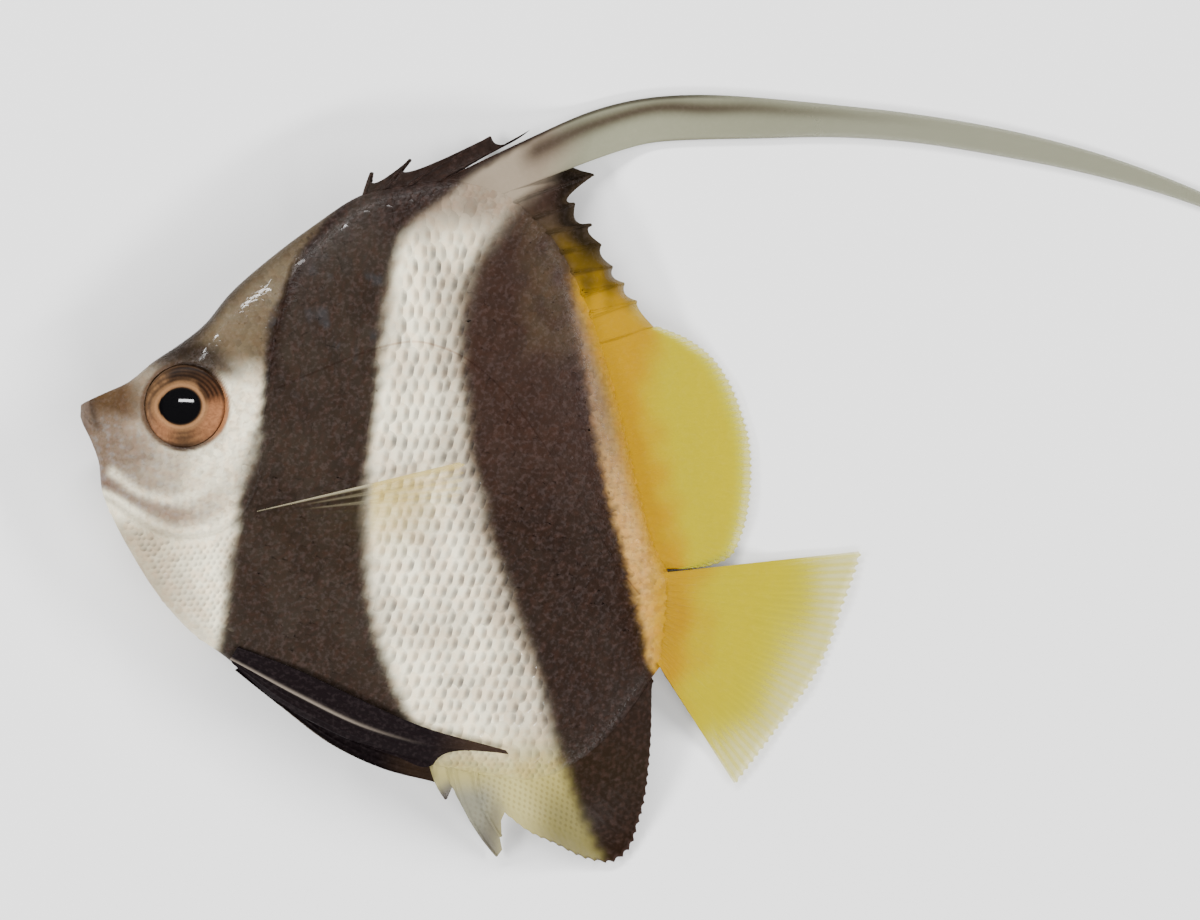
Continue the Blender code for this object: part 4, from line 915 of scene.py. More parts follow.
def scales(name, side, material, large):
    """Overlapping scales on one flank as a joined mesh of closed plates; side is 1 for the left flank.

    The large ones cover the trunk; the others cover the head, the throat, the tail stalk and the fins' bases.

    A plate is a grid: across, its half width follows a circle's arc; along, its height climbs from below the
    skin at the root to the step at its rear edge, and its rim dips into the skin again.
    """
    roots = scale_roots()
    roots = roots[(roots[:, 2] > 0.8) == large]
    draw = np.random.default_rng(7 if side > 0 else 8)
    x0, y0, size, tall, margin = roots.T
    ahead = lie(x0, y0)
    turn = draw.normal(0, 0.06, len(x0))
    ahead = np.stack(
        [ahead[:, 0] * np.cos(turn) - ahead[:, 1] * np.sin(turn),
         ahead[:, 0] * np.sin(turn) + ahead[:, 1] * np.cos(turn)], -1
    )
    across = np.stack([-ahead[:, 1], ahead[:, 0]], -1)
    grid_a, grid_b = (g.ravel() for g in np.meshgrid(PLATE_ALONG, PLATE_ACROSS, indexing="ij"))
    half_width = 0.62 * np.sqrt(np.clip(1 - ((grid_a - 0.42) / 0.62) ** 2, 0.08, 1))
    lift = smooth(grid_a / 0.9) * (1 - 0.4 * grid_b**2)
    on_rim = (grid_a == 1.0) | (np.abs(grid_b) == 1.0) | (grid_a == 0.0)
    length = 1.32 * size * draw.uniform(0.94, 1.06, len(x0))
    plan = (
        np.stack([x0, y0], -1)[:, None]
        + ahead[:, None] * ((grid_a - 0.35) * length[:, None])[..., None]
        + across[:, None] * (grid_b * half_width * tall[:, None] * 1.3)[..., None]
    )
    x, y = plan[..., 0], plan[..., 1]
    faces = body_faces(x.ravel(), y.ravel(), fine=True)
    z = faces[0 if side > 0 else 1].reshape(x.shape)
    dark = np.maximum(*(between(*edges, x0, y0) for edges in BANDS))
    on_head = from_curve(GILL_EDGE, x0, y0)[1] < 0
    rear = smooth((x0 - edge_at(BAND_2_REAR, y0)) / 0.8)
    early = np.where(~on_head & (x0 < 17) & (not large), smooth((-8.0 - y0) / 3.0), 1.0)
    if large:
        step = 0.05 - 0.042 * dark
    else:
        step = np.where(on_head, 0.01, (0.016 - 0.008 * rear) * (0.4 + 0.6 * early))
    z = z + side * np.where(on_rim, -0.3, lift) * step[:, None]
    if side < 0:
        z = np.maximum(z, 0.01)
    count = len(x0)
    corners = len(grid_a)
    cells = np.arange(corners).reshape(len(PLATE_ALONG), len(PLATE_ACROSS))
    quads = np.stack([cells[:-1, :-1], cells[1:, :-1], cells[1:, 1:], cells[:-1, 1:]], -1).reshape(-1, 4)
    ring = np.concatenate([cells[0], cells[1:, -1], cells[-1, -2::-1], cells[-2:0:-1, 0]])
    shift = (np.arange(count) * corners)[:, None, None]
    tops = (quads[None] + shift).reshape(-1, 4)
    floors = ring[None] + shift[:, 0]
    if side > 0:
        floors = floors[:, ::-1]
    else:
        tops = tops[:, ::-1]
    points = world(x, y, z).reshape(-1, 3)
    sample = tops[0]
    normal = np.cross(points[sample[1]] - points[sample[0]], points[sample[3]] - points[sample[0]])[2]
    if normal * side < 0:
        tops, floors = tops[:, ::-1], floors[:, ::-1]
    obj = piece(name, points, [tops, floors], material)
    colours = markings(x, y) * draw.uniform(0.92, 1.05, (count, 1, 1))
    set_colours(obj.data, np.clip(colours, 0, 1))
    # Mask of the painted shade at each plate's rear edge and sides.
    rear_rim_shade = smooth((grid_a - 0.4) / 0.45) * (1 - 0.85 * grid_b**2)
    rim = np.maximum(rear_rim_shade, 0.25 * smooth(np.abs(grid_b) * 2 - 0.8))
    faint = np.maximum(0.7 * smooth((y0 - 14.5) / 3.0), 0.75 * smooth((1.8 - margin) / 1.5) * (x0 < 16))
    clear = np.where(on_head, 0.35, 1.0 - np.maximum(np.maximum(0.97 * dark, 0.8 * rear), faint))
    low = np.where(y0 < -27, 1 - 0.45 * smooth((-28.0 - y0) / 4.0), 1.0)
    clear = clear * early * np.where(x0 < 16, 0.65, 1.0) * low
    set_values(obj.data, "RimShade", rim * clear[:, None])
    lateral = np.array(LATERAL_LINE)
    set_values(obj.data, "Line", y - through(lateral[:, 0], lateral[:, 1], x) + 99.0 * (not large))
    set_values(obj.data, "Wet", np.repeat(wetness(x0, y0, margin), corners))
    set_values(obj.data, "Luck", np.repeat(draw.uniform(0, 1, count), corners))
    bake_patches(obj.data, x0, y0, grid_a, grid_b, side)
    return obj


def bake_patches(mesh, x0, y0, grid_a, grid_b, side):
    """UV map OFBake: each plate is a patch 0.003 across at its root's place on the flank's unwrap.

    The unwrap is the skin's own: station along, height across, the left flank in one half of the square and
    the right flank in the other.
    """
    s, v = station_of(x0, y0)
    u = 0.01 + 0.47 * s + (0 if side > 0 else 0.5)
    patch = 0.003 * np.stack([grid_a - 0.5, grid_b / 2], -1)
    corners = np.stack([u, 0.01 + 0.98 * v], -1)[:, None] + patch[None]
    index = np.empty(len(mesh.loops), np.int32)
    mesh.loops.foreach_get("vertex_index", index)
    layer = mesh.uv_layers.new(name="OFBake")
    layer.data.foreach_set("uv", corners.reshape(-1, 2)[index].astype(np.float32).ravel())


def ray_pattern(count, fine):
    """Places from 0 to 1 across a fin, fine steps to a ray's spacing, and the distance from a ray there."""
    places = np.linspace(0, 1, (count - 1) * fine + 1)
    phase = places * (count - 1)
    return places, phase - np.round(phase)


def ray_height(phase, share):
    """Height of a ray from 0 to 1: one ridge near the root that forks into two towards the margin."""
    fork = 0.24 * smooth((share - 0.3) / 0.5)
    width = 0.17 - 0.06 * smooth((share - 0.3) / 0.3)
    return bell(np.abs(phase) - fork, width)


def sheet_normals(points):
    """Unit normals of a grid of points, all with z up."""
    normal = np.cross(np.gradient(points, axis=0), np.gradient(points, axis=1))
    normal *= np.sign(normal[..., 2:])
    return normal / np.linalg.norm(normal, axis=-1, keepdims=True)


def outline_points(places, line, axis):
    """Points on the back or belly ridge where its x (axis 0) or y (axis 1) has the given values."""
    ridge = line(RIDGE)
    order = np.argsort(ridge[:, axis])
    return np.stack([np.interp(places, ridge[order, axis], ridge[order, i]) for i in (0, 1)], -1)


def on_outline(points, line):
    """The points of the back or belly ridge that lie nearest to the given points."""
    outline = line(RIDGE)
    return outline[np.linalg.norm(outline[None] - points[:, None], axis=-1).argmin(1)]


def notched(root, tip, phase, depth):
    """The margin with a shallow notch between rays, a share of the column's length deep."""
    return tip - (tip - root) * (depth * (1 - ray_height(phase, 1.0)))[:, None]


def fin_plan(root, tip, rows, bow=0.0, sink=1.2):
    """Plan points and runs of a fin's columns, which start sunk into the body, and their shares."""
    share = np.linspace(0, 1, rows)[None, :]
    run = tip - root
    length = np.linalg.norm(run, axis=-1, keepdims=True)
    root = root - run / length * np.reshape(sink, (-1, 1))
    run = (tip - root)[:, None, :]
    across = np.stack([-run[..., 1], run[..., 0]], -1)
    bend = np.reshape(bow, (-1, 1)) * 4 * share * (1 - share)
    plan = root[:, None, :] + run * share[..., None] + across * bend[..., None]
    distance = np.linalg.norm(run, axis=-1) * share - np.reshape(sink, (-1, 1))
    return plan, distance, np.broadcast_to(share, distance.shape)


def sinking(plan, distance):
    """Height of a limp fin's middle: from the body's middle plane down to the table over DROOP_RUN."""
    start = middle_height(plan[:, :1, 0])
    return start - (start - FLOOR_REST) * smooth(np.maximum(distance, 0) / DROOP_RUN)


def sheet(name, plan, z, half, material, nodes):
    """A fin as a closed thin sheet round its middle surface; half is its half thickness."""
    middle = np.stack([plan[..., 0], plan[..., 1], z], -1)
    offset = sheet_normals(middle) * half[..., None]
    upper, lower = middle + offset, middle - offset
    lower[..., 2] = np.maximum(lower[..., 2], 0.02)
    upper[..., 2] = np.maximum(upper[..., 2], lower[..., 2] + 0.03)
    obj = two_faced(
        name, world(*np.moveaxis(upper, -1, 0)), world(*np.moveaxis(lower, -1, 0)), material
    )
    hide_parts(*nodes)
    return obj


def finish_fin(obj, colours, clear, ray, sheath=0.0):
    """Stores a fin's colour, clearness, ray height and scaly sheath on both of its faces."""
    set_colours(obj.data, np.stack([colours, colours]))
    sheath = np.broadcast_to(sheath, clear.shape)
    set_values(obj.data, "Sheath", np.stack([sheath, sheath]))
    set_values(obj.data, "Clear", np.stack([clear, clear]))
    set_values(obj.data, "Ray", np.stack([ray, ray]))


def fleshy(distance, edge=FIN_EDGE - COAT):
    """Extra half thickness of a fin's base, which fades over the first millimetres."""
    return (edge - 0.07) * np.exp(-np.maximum(distance, 0) / 1.3)


def yellowed(colours, x, y, distance):
    """The yellow back fins: gold from the body on, turning to yellow further out along a wavering line."""
    run = distance + 0.5 * waver(x, y, 4.0, 41)
    colours = blend(colours, GOLD, smooth((run + 0.6) / 1.4))
    return blend(colours, YELLOW, smooth((run - 0.6 - 2.4 * smooth((y - 0.5) / 6.0)) / 4.2))


def soft_dorsal(material):
    """The soft back fin: columns run from the back ridge to a smooth margin, slightly bowed.

    Each column's height falls from the body's middle plane to the table, plus a gentle wave that grows
    towards the margin. The half thickness is the membrane's plus a ridge for each forked ray.
    """
    places, phase = ray_pattern(SOFT_DORSAL_RAYS, 8)
    heights = SOFT_DORSAL_ROOT[0] + (SOFT_DORSAL_ROOT[1] - SOFT_DORSAL_ROOT[0]) * places
    root = outline_points(heights, back_line, 1)
    tip = flowing(SOFT_DORSAL_MARGIN, places)
    tip = notched(root, tip, phase, 0.02)
    plan, distance, share = fin_plan(root, tip, 64, bow=0.03)
    ray = ray_height(phase[:, None], share)
    z = sinking(plan, distance) + 0.1 * waver(plan[..., 0], plan[..., 1], 9.0, 31) * smooth(share * 2)
    half = 0.07 + 0.07 * ray * (1 - 0.5 * share) + fleshy(distance)
    obj = sheet("fin_soft_dorsal", plan, z, half, material, ["fin_dorsal_soft"])
    x, y = plan[..., 0], plan[..., 1]
    colours = yellowed(markings(x, y), x, y, distance)
    margin = smooth((share - 0.82) / 0.16)
    colours = blend(colours, LEMON, 0.8 * margin)
    clear = 0.02 + 0.6 * margin
    finish_fin(obj, colours, clear, ray)


def caudal(material):
    """The tail fin: columns fan out from the straight end of the tail stalk to a smooth margin.

    Height and thickness are worked out as for the soft back fin, with a higher wave and stouter rays.
    """
    places, phase = ray_pattern(CAUDAL_RAYS, 10)
    back, belly = BACK[-1], BELLY[-1]
    root = back + (belly - back) * places[:, None]
    tip = flowing(CAUDAL_MARGIN, places)
    tip = notched(root, tip, phase, 0.018)
    plan, distance, share = fin_plan(root, tip, 90)
    ray = ray_height(phase[:, None], share)
    x, y = plan[..., 0], plan[..., 1]
    z = sinking(plan, distance) + 0.14 * waver(x, y, 11.0, 37) * smooth(share * 2)
    half = 0.06 + 0.08 * ray * (1 - 0.5 * share) + fleshy(distance, 0.95)
    obj = sheet("fin_tail", plan, z, half, material, ["fin_caudal"])
    colours = np.broadcast_to(light(GOLD), x.shape + (3,))
    run = distance + 0.7 * waver(x, y, 5.0, 43)
    colours = blend(colours, YELLOW, smooth((run - 0.5) / 5.5))
    margin = smooth((share - 0.5 + 0.04 * waver(x, y, 9.0, 47)) / 0.45)
    colours = blend(colours, LEMON, 0.75 * margin)
    clear = 0.03 + 0.68 * margin
    finish_fin(obj, colours, clear, ray)


def spine_columns(root, tip, notch, next_root):
    """Four columns for a spine: its front, crest and rear, and the low point of the membrane behind it."""
    root, tip, notch, next_root = (np.array(p, float) for p in (root, tip, notch, next_root))
    run = (next_root - root) / np.linalg.norm(next_root - root)
    side = run * SPINE_WIDTH
    roots = [root - side, root, root + side, (root + next_root) / 2 + side / 2]
    tips = [tip - side * 0.5, tip, tip + side * 0.2, notch]
    return roots, tips, [0.0, 1.0, 0.0, 0.0]


def spine_row(spines, last_root):
    """Roots, tips and ridges of a row of spines; last_root is where the row's last membrane ends."""
    roots, tips, ridges = [], [], []
    following = [row[0] for row in spines[1:]] + [last_root]
    for row, next_root in zip(spines, following):
        for kept, new in zip((roots, tips, ridges), spine_columns(*row, next_root)):
            kept.extend(new)
    return np.array(roots), np.array(tips), np.array(ridges)


def between_columns(values, fine=8):
    """Straight steps between neighbouring columns, fine to each."""
    at = np.linspace(0, len(values) - 1, (len(values) - 1) * fine + 1)
    low = np.minimum(at.astype(int), len(values) - 2)
    t = (at - low).reshape((-1,) + (1,) * (values.ndim - 1))
    return values[low] * (1 - t) + values[low + 1] * t


def hollowed(tips, notches, fine=8):
    """The margin with a parabola through each notch and its two neighbouring columns, as membranes hang."""
    tips = tips.copy()
    t = np.linspace(0, 2, 2 * fine + 1)[:, None]
    for notch in notches:
        low, middle, high = (tips[(notch + step) * fine].copy() for step in (-1, 0, 1))
        curve = low * (1 - t) * (2 - t) / 2 + middle * t * (2 - t) + high * t * (t - 1) / 2
        tips[(notch - 1) * fine : (notch + 1) * fine + 1] = curve
    return tips


def spiny_sheet(name, roots, tips, ridges, notches, material, nodes):
    """A row of spines and the membrane between them; spines are round ridges in the sheet."""
    root, tip, ridge = (between_columns(value) for value in (roots, tips, ridges))
    tip = hollowed(tip, notches)
    ridge = np.sqrt(np.clip(1 - (1 - ridge) ** 2, 0, 1))
    plan, distance, share = fin_plan(on_outline(root, back_line), tip, 46, sink=1.0)
    ray = ridge[:, None] * (1 - 0.25 * share)
    z = sinking(plan, distance)
    half = 0.06 + 0.2 * ray * (1 - 0.6 * share) + fleshy(distance)
    obj = sheet(name, plan, z, half, material, nodes)
    return obj, plan, distance, share, ray


def dorsal_front(material):
    """The three front spines of the back fin with hollowed membranes, up to the streamer's root."""
    roots, tips, ridges = spine_row(DORSAL_SPINES, STREAMER_ROOT[0])
    roots = np.concatenate([roots, [STREAMER_ROOT[0]]])
    tips = np.concatenate([tips, [(42.6, 26.15)]])
    ridges = np.concatenate([ridges, [0.0]])
    obj, plan, _, _, ray = spiny_sheet(
        "fin_dorsal_front", roots, tips, ridges, (3, 7, 11), material, ["fin_dorsal_spiny"]
    )
    x, y = plan[..., 0], plan[..., 1]
    colours = markings(x, y)
    finish_fin(obj, colours, np.full(x.shape, 0.06), ray)


def dorsal_rear(material):
    """The back fin's spines behind the streamer; two more columns at the front tuck under its root.

    The colour turns from dark brown through ochre to the soft fin's yellow as the height y falls.
    """
    roots, tips, ridges = spine_row(REAR_SPINES, LAST_SPINE[0])
    before = np.array(STREAMER_NOTCH)
    end_root, end_tip = (np.array(p) for p in LAST_SPINE)
    end_root = end_root - (0, 0.6)
    end_tip = end_tip - (0.0, 0.6)
    roots = np.concatenate([[before[0] - (1.2, -0.5)], [before[0]], roots, [end_root]])
    tips = np.concatenate([[before[1] - (1.5, -0.6)], [before[1]], tips, [end_tip]])
    ridges = np.concatenate([[0.0, 0.0], ridges, [0.2]])
    obj, plan, distance, share, ray = spiny_sheet(
        "fin_dorsal_rear", roots, tips, ridges, range(5, 33, 4), material, ["fin_dorsal_spiny"]
    )
    x, y = plan[..., 0], plan[..., 1]
    colours = markings(x, y)
    gold = smooth((17.5 - y) / 3.0) * smooth((distance + 0.6) / 1.2)
    yellow = yellowed(colours, x, y, distance)
    colours = blend(colours, OCHRE, gold)
    ripe = smooth((13.0 - y + 0.8 * waver(x, y, 2.6, 55)) / 5.0)[..., None]
    colours = colours * (1 - ripe) + yellow * ripe
    tips_dark = smooth((y - 12.5) / 3.0) * smooth((share - 0.35) / 0.4) * smooth((x - 44.0) / 2.0)
    colours = blend(colours, SOOT, 0.9 * np.maximum(tips_dark, 0.5 * ray * smooth((y - 9) / 4)))
    colours = blend(colours, SMOKE, 0.35 * smooth((share - 0.8) / 0.2) * smooth((y - 8.5) / 4.0))
    finish_fin(obj, colours, 0.04 + 0.3 * smooth((share - 0.75) / 0.25) * (1 - tips_dark), ray)


def streamer_line(at):
    """Middle, direction, sideways direction and width of the streamer at shares of its length."""
    line = flowing(STREAMER, at)
    step = flowing(STREAMER, np.minimum(at + 1e-3, 1)) - flowing(STREAMER, np.maximum(at - 1e-3, 0))
    ahead = step[:, :2] / np.linalg.norm(step[:, :2], axis=1)[:, None]
    return line[:, :2], ahead, np.stack([-ahead[:, 1], ahead[:, 0]], -1), line[:, 2]


def eased(grid, passes):
    """A grid whose rows have moved between their neighbours so many times, the first and last apart."""
    for _ in range(passes):
        grid = np.concatenate([grid[:1], (grid[:-2] + 2 * grid[1:-1] + grid[2:]) / 4, grid[-1:]])
    return grid


def streamer(material):
    """The streamer from its broad root on the back to its fine tip, one long sheet.

    Across, a share runs from the front edge to the rear edge. Along, points first go straight from the root
    on the back to the streamer's own start, then follow its middle line.
    """
    across_share = np.linspace(0, 1, STREAMER_ACROSS)
    at = np.linspace(0, 1, STREAMER_ALONG)
    centre, _, sideways, width = streamer_line(at)
    ribbon = centre[:, None] + sideways[:, None] * (width[:, None] * (0.5 - across_share))[..., None]
    first, last = (np.array(p) for p in STREAMER_ROOT)
    root = on_outline(first + (last - first) * across_share[:, None], back_line)
    inward = (root - ribbon[0]) / np.linalg.norm(root - ribbon[0], axis=1)[:, None]
    root = root + inward * 1.0
    steps = np.linspace(0, 1, STREAMER_WEB + 1)[:-1]
    web = root[None] + (ribbon[0] - root)[None] * steps[:, None, None]
    plan = np.concatenate([web, ribbon])
    moved = np.linalg.norm(plan[: STREAMER_WEB + 1] - root[None], axis=-1) - 1.0
    rest = STREAMER_HALF * (1 - 0.5 * at)[:, None]
    start = middle_height(root[:, 0])[None]
    run = np.concatenate([[0], np.cumsum(np.linalg.norm(np.diff(centre, axis=0), axis=1))])
    run = np.concatenate([moved[:-1], moved[-1] + run[:, None]])
    on_web = np.full((STREAMER_WEB, STREAMER_ACROSS), STREAMER_HALF)
    level = np.concatenate([on_web, rest + 0 * ribbon[..., 0]])
    z = eased(start - (start - level) * smooth(np.maximum(run, 0) / 15.0), 60)
    plan = eased(plan, 60)
    along = np.concatenate([np.zeros(STREAMER_WEB), at])[:, None]
    centre_line = 2 * across_share - 1
    spine = bell(across_share - 0.035, 0.03)[None] * (1 - 0.85 * smooth(along / 0.5))
    lens = np.sqrt(np.clip(1 - 0.9 * centre_line**2, 0, 1))[None]
    half = 0.07 + 0.12 * lens * (1 - 0.6 * along) + 0.12 * spine
    half = half * (0.5 + 0.5 * smooth((1 - along) / 0.03)) + fleshy(run)
    obj = sheet(
        "streamer", plan, z, half, material, ["streamer_1", "streamer_2", "streamer_3"]
    )
    x, y = plan[..., 0], plan[..., 1]
    colours = markings(x, y)
    share = np.broadcast_to(across_share[None], x.shape)
    out = smooth((x - 43.5 + 0.5 * waver(x, y, 5.0, 53)) / 5.0)
    colours = blend(colours, STREAMER_GREY, out)
    uneven = 0.03 * waver(x, y, 9.0, 57)
    wide = smooth((52.0 - x) / 9.0)
    stripe = bell(share - 0.28 - 0.07 * wide - uneven, 0.17 + 0.12 * wide)
    stripe = stripe * smooth((x - 41.0) / 2.5) * smooth((86.0 - x) / 30.0)
    colours = blend(colours, STREAMER_BROWN, 0.9 * stripe)
    leading = smooth((0.1 - share) / 0.06) * smooth((x - 38) / 3) * smooth((66.0 - x) / 10.0)
    colours = blend(colours, BAND, 0.8 * leading)
    lower = smooth((share - 0.93) / 0.06) * smooth((x - 52) / 5)
    colours = blend(colours, SMOKE, 0.35 * lower)
    clear = 0.05 + 0.32 * smooth((x - 50) / 25) + 0.1 * lower
    finish_fin(obj, colours, clear * (1 - 0.5 * stripe), 0.6 * spine + 0 * share)


def anal(material):
    """The anal fin: columns of three bowed spines, then soft rays from the belly ridge to a smooth margin.

    Height falls from the body's middle plane to the table. The half thickness is the membrane's plus a ridge,
    0.2 mm high on a spine and from 0.06 to 0.02 mm high on the rays from front to rear.
    """
    roots, tips, ridges = spine_row(ANAL_SPINES, (ANAL_ROOT[0], -35.5))
    spiny_root, spiny_tip, ridge = (between_columns(value) for value in (roots, tips, ridges))
    places, phase = ray_pattern(ANAL_RAYS, 9)
    soft_root = outline_points(ANAL_ROOT[0] + (ANAL_ROOT[1] - ANAL_ROOT[0]) * places, belly_line, 0)
    soft_tip = notched(soft_root, flowing(ANAL_MARGIN, places), phase, 0.03)
    root = np.concatenate([on_outline(spiny_root, belly_line), soft_root])
    tip = np.concatenate([spiny_tip, soft_tip])
    bow = np.concatenate([np.full(len(spiny_tip), ANAL_SPINE_BOW), 0 * places])
    plan, distance, share = fin_plan(root, tip, 56, bow=bow)
    spine = np.sqrt(np.clip(1 - (1 - ridge) ** 2, 0, 1))[:, None] * np.ones_like(share[: len(ridge)])
    ray = np.concatenate([spine, ray_height(phase[:, None], share[len(ridge) :])])
    stout = np.concatenate([np.full(len(ridge), 0.2), 0.06 - 0.04 * places])[:, None]
    half = 0.06 + stout * ray * (1 - 0.5 * share) + fleshy(distance)
    obj = sheet("fin_anal_banded", plan, sinking(plan, distance), half, material, ["fin_anal"])
    x, y = plan[..., 0], plan[..., 1]
    colours = markings(x, y)
    front = smooth((41.0 - x) / 3.0) * smooth((-34.5 - y) / 3.0)
    colours = blend(colours, ANAL_FRONT, 0.85 * front)
    colours = blend(colours, ANAL_FRONT_RIM, front * smooth((share - 0.55) / 0.4))
    pale = 1 - between(*BANDS[1], x, y)
    colours = blend(colours, UMBER, 0.6 * smooth((share - 0.965) / 0.03) * smooth((x - 42.0) / 3.0))
    clear = pale * 0.2 * smooth((share - 0.6) / 0.35) + 0.01
    sheath = smooth((0.9 - share) / 0.3) * pale * smooth((x - 36) / 3)
    finish_fin(obj, colours, clear, ray, 0.5 * sheath)


def pectoral(name, material, upper_side):
    """A breast fin: clear membrane on fine pale rays, with a painted highlight along its first two rays; the
    left lies on the flank, the right under it.
    """
    places, phase = ray_pattern(PECTORAL_RAYS, 10)
    root = flowing(PECTORAL_ROOT, places)
    tip = flowing(PECTORAL_MARGIN, places)
    tip = notched(root, tip, phase, 0.03)
    plan, distance, share = fin_plan(root, tip, 80, sink=0.7)
    ray = ray_height(phase[:, None], share)
    x, y = plan[..., 0], plan[..., 1]
    if upper_side:
        top, _ = body_faces(x, y)
        z = top + 0.16 * smooth((distance + 0.6) / 1.6)
        z = z + 0.3 * smooth(distance / 3) + 0.25 * smooth(distance / 20.0)
    else:
        z = np.full_like(x, WEB)
    half = 0.035 + 0.07 * ray * (1 - 0.5 * share) + 0.22 * np.exp(-np.maximum(distance + 0.4, 0) / 0.9)
    half = np.minimum(half, WEB if not upper_side else 1.0)
    node = "fin_pectoral_left" if upper_side else "fin_pectoral_right"
    obj = sheet(name, plan, z, half, material, [node])
    over_white = smooth((x - edge_at(BAND_1_REAR, y) - 0.2) / 0.8)
    colours = np.broadcast_to(light(BREAST_ON_DARK), x.shape + (3,))
    colours = blend(colours, BREAST_ON_WHITE, over_white)
    upper = smooth((0.75 - places) / 0.6)[:, None] * smooth((1.05 - share) / 0.5)
    wash = upper * (0.12 * smooth((distance - 6.0) / 4.0) + 0.14 * over_white)
    # Painted highlight, partly the rays' own pale colour: pale lines along the leading ray and the second
    # ray.
    leading = smooth((0.04 - places) / 0.03)[:, None]
    second = ray * bell(places * (PECTORAL_RAYS - 1) - 1.5, 0.9)[:, None] * smooth((distance - 3.0) / 3.0)
    pale = np.maximum(0.8 * leading, 0.5 * second) * (1 - 0.6 * over_white)
    colours = blend(colours, BREAST_RAY_GLINT, pale)
    clear = 0.985 - wash - 0.3 * leading - 0.2 * second
    finish_fin(obj, colours, clear, np.maximum(0.12 * ray * upper, 0.8 * leading))


def pelvic(name, edges, material, left):
    """A folded belly fin: columns run straight between its edges in turn, rows from root to tip."""
    places = np.linspace(0, 1, 110)
    lines = np.array([flowing(edge, places) for edge in edges])
    across, phase = ray_pattern(PELVIC_RAYS if left else PELVIC_RAYS - 1, 12)
    plan = between_columns(lines, (len(across) - 1) // (len(edges) - 1))
    x, y = plan[..., 0], plan[..., 1]
    share = np.broadcast_to(places, x.shape)
    top, bottom = body_faces(x, y)
    ray = ray_height(phase[:, None], 0.3 * share)
    if left:
        z = top + 0.25 + 0.3 * smooth(share * 3)
    else:
        sunk = MID_HEIGHT - 1.2 - PELVIC_DROP * smooth(share * 1.4)
        z = np.maximum(np.minimum(bottom - GAP - FLOOR_REST, sunk), FLOOR_REST)
    spine = bell(across - (0.5 if left else 0.0), 0.035)[:, None]
    half = 0.07 + 0.06 * ray * (1 - 0.5 * share) + 0.16 * spine * (1 - 0.7 * share)
    half = half * (0.35 + 0.65 * smooth((1 - share) / 0.15))
    node = "fin_pelvic_left" if left else "fin_pelvic_right"
    obj = sheet(name, plan, z, half, material, [node])
    colours = np.broadcast_to(light(BELLY_FIN), x.shape + (3,))
    colours = blend(colours, BELLY_FIN_TIP, 0.6 * smooth((share - 0.72) / 0.2))
    # Painted highlight: a pale grey line along the glossy black spine, fading towards its tip.
    colours = blend(colours, BELLY_SPINE_GLINT, 0.8 * spine * smooth((0.75 - share) / 0.4))
    finish_fin(obj, colours, 0 * share, ray)


def eye(name, side, material):
    """An eyeball: a shallow dome outside and a deeper half ellipsoid inside, its axis square to the skin."""
    x0, y0 = EYE_AT
    round_eye = np.array([x0, y0]) + EYE_REACH * np.array([[1, 0], [-1, 0], [0, 1], [0, -1]])
    behind, before, over, under = body_faces(*round_eye.T)[0] + COAT - MID_HEIGHT
    slope_x, slope_y = (behind - before) / 2 / EYE_REACH, (over - under) / 2 / EYE_REACH
    axis = Vector((-slope_x, -slope_y, 1.0)).normalized()
    ahead = Vector((1.0, 0.0, slope_x)).normalized()
    above = np.array(axis.cross(ahead))
    axis, ahead = np.array(axis), np.array(ahead)
    middle = np.array((x0, y0, (behind + before + over + under) / 4 - EYE_SINK))
    tilt = np.linspace(0, math.pi, EYE_RINGS)[1:-1]
    turn = np.linspace(0, 2 * math.pi, EYE_SPOKES, endpoint=False)
    radius = np.sin(tilt)[:, None] * np.ones(EYE_SPOKES)
    height = np.cos(tilt)[:, None] * np.ones(EYE_SPOKES)
    height = np.where(height > 0, height * EYE_DOME, height * EYE_DEPTH)
    shift = smooth((1 - radius) / 0.5) * (height > 0)
    flat_x = radius * np.cos(turn) * EYE_RADIUS * (1 + 0.05 * shift) + PUPIL_AT[0] * shift
    flat_y = radius * np.sin(turn) * EYE_RADIUS * (1 - 0.05 * shift) + PUPIL_AT[1] * shift
    rise = np.sqrt(np.clip(1 - (flat_x**2 + flat_y**2) / EYE_RADIUS**2, 0, 1)) * EYE_DOME
    height = np.where(height > 0, rise, height)
    points = middle + ahead * flat_x[..., None] + above * flat_y[..., None] + axis * height[..., None]
    pupil = middle + ahead * PUPIL_AT[0] + above * PUPIL_AT[1] + axis * EYE_DOME * 0.99
    poles = np.stack([pupil, middle - axis * EYE_DEPTH])
    points = np.concatenate([points.reshape(-1, 3), poles])
    x, y, z = points.T
    index = np.arange((EYE_RINGS - 2) * EYE_SPOKES).reshape(EYE_RINGS - 2, EYE_SPOKES)
    right = np.roll(index, -1, axis=1)
    quads = np.stack([index[:-1], index[1:], right[1:], right[:-1]], -1).reshape(-1, 4)
    top, bottom = (EYE_RINGS - 2) * EYE_SPOKES, (EYE_RINGS - 2) * EYE_SPOKES + 1
    crown = np.stack([np.full(EYE_SPOKES, top), index[0], right[0]], -1)
    base = np.stack([np.full(EYE_SPOKES, bottom), right[-1], index[-1]], -1)
    faces = [quads, crown, base]
    if side < 0:
        faces = [group[:, ::-1] for group in faces]
    obj = piece(name, world(x, y, MID_HEIGHT + side * z), faces, material)
    fx = np.concatenate([flat_x.ravel(), [PUPIL_AT[0], 0]])
    fy = np.concatenate([flat_y.ravel(), [PUPIL_AT[1], 0]])
    set_colours(obj.data, iris(fx, fy))
    set_values(obj.data, "Wet", 1 - smooth((np.hypot(fx, fy) / EYE_RADIUS - 0.46) / 0.16))
    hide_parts("eye_left" if side > 0 else "eye_right")
    return axis


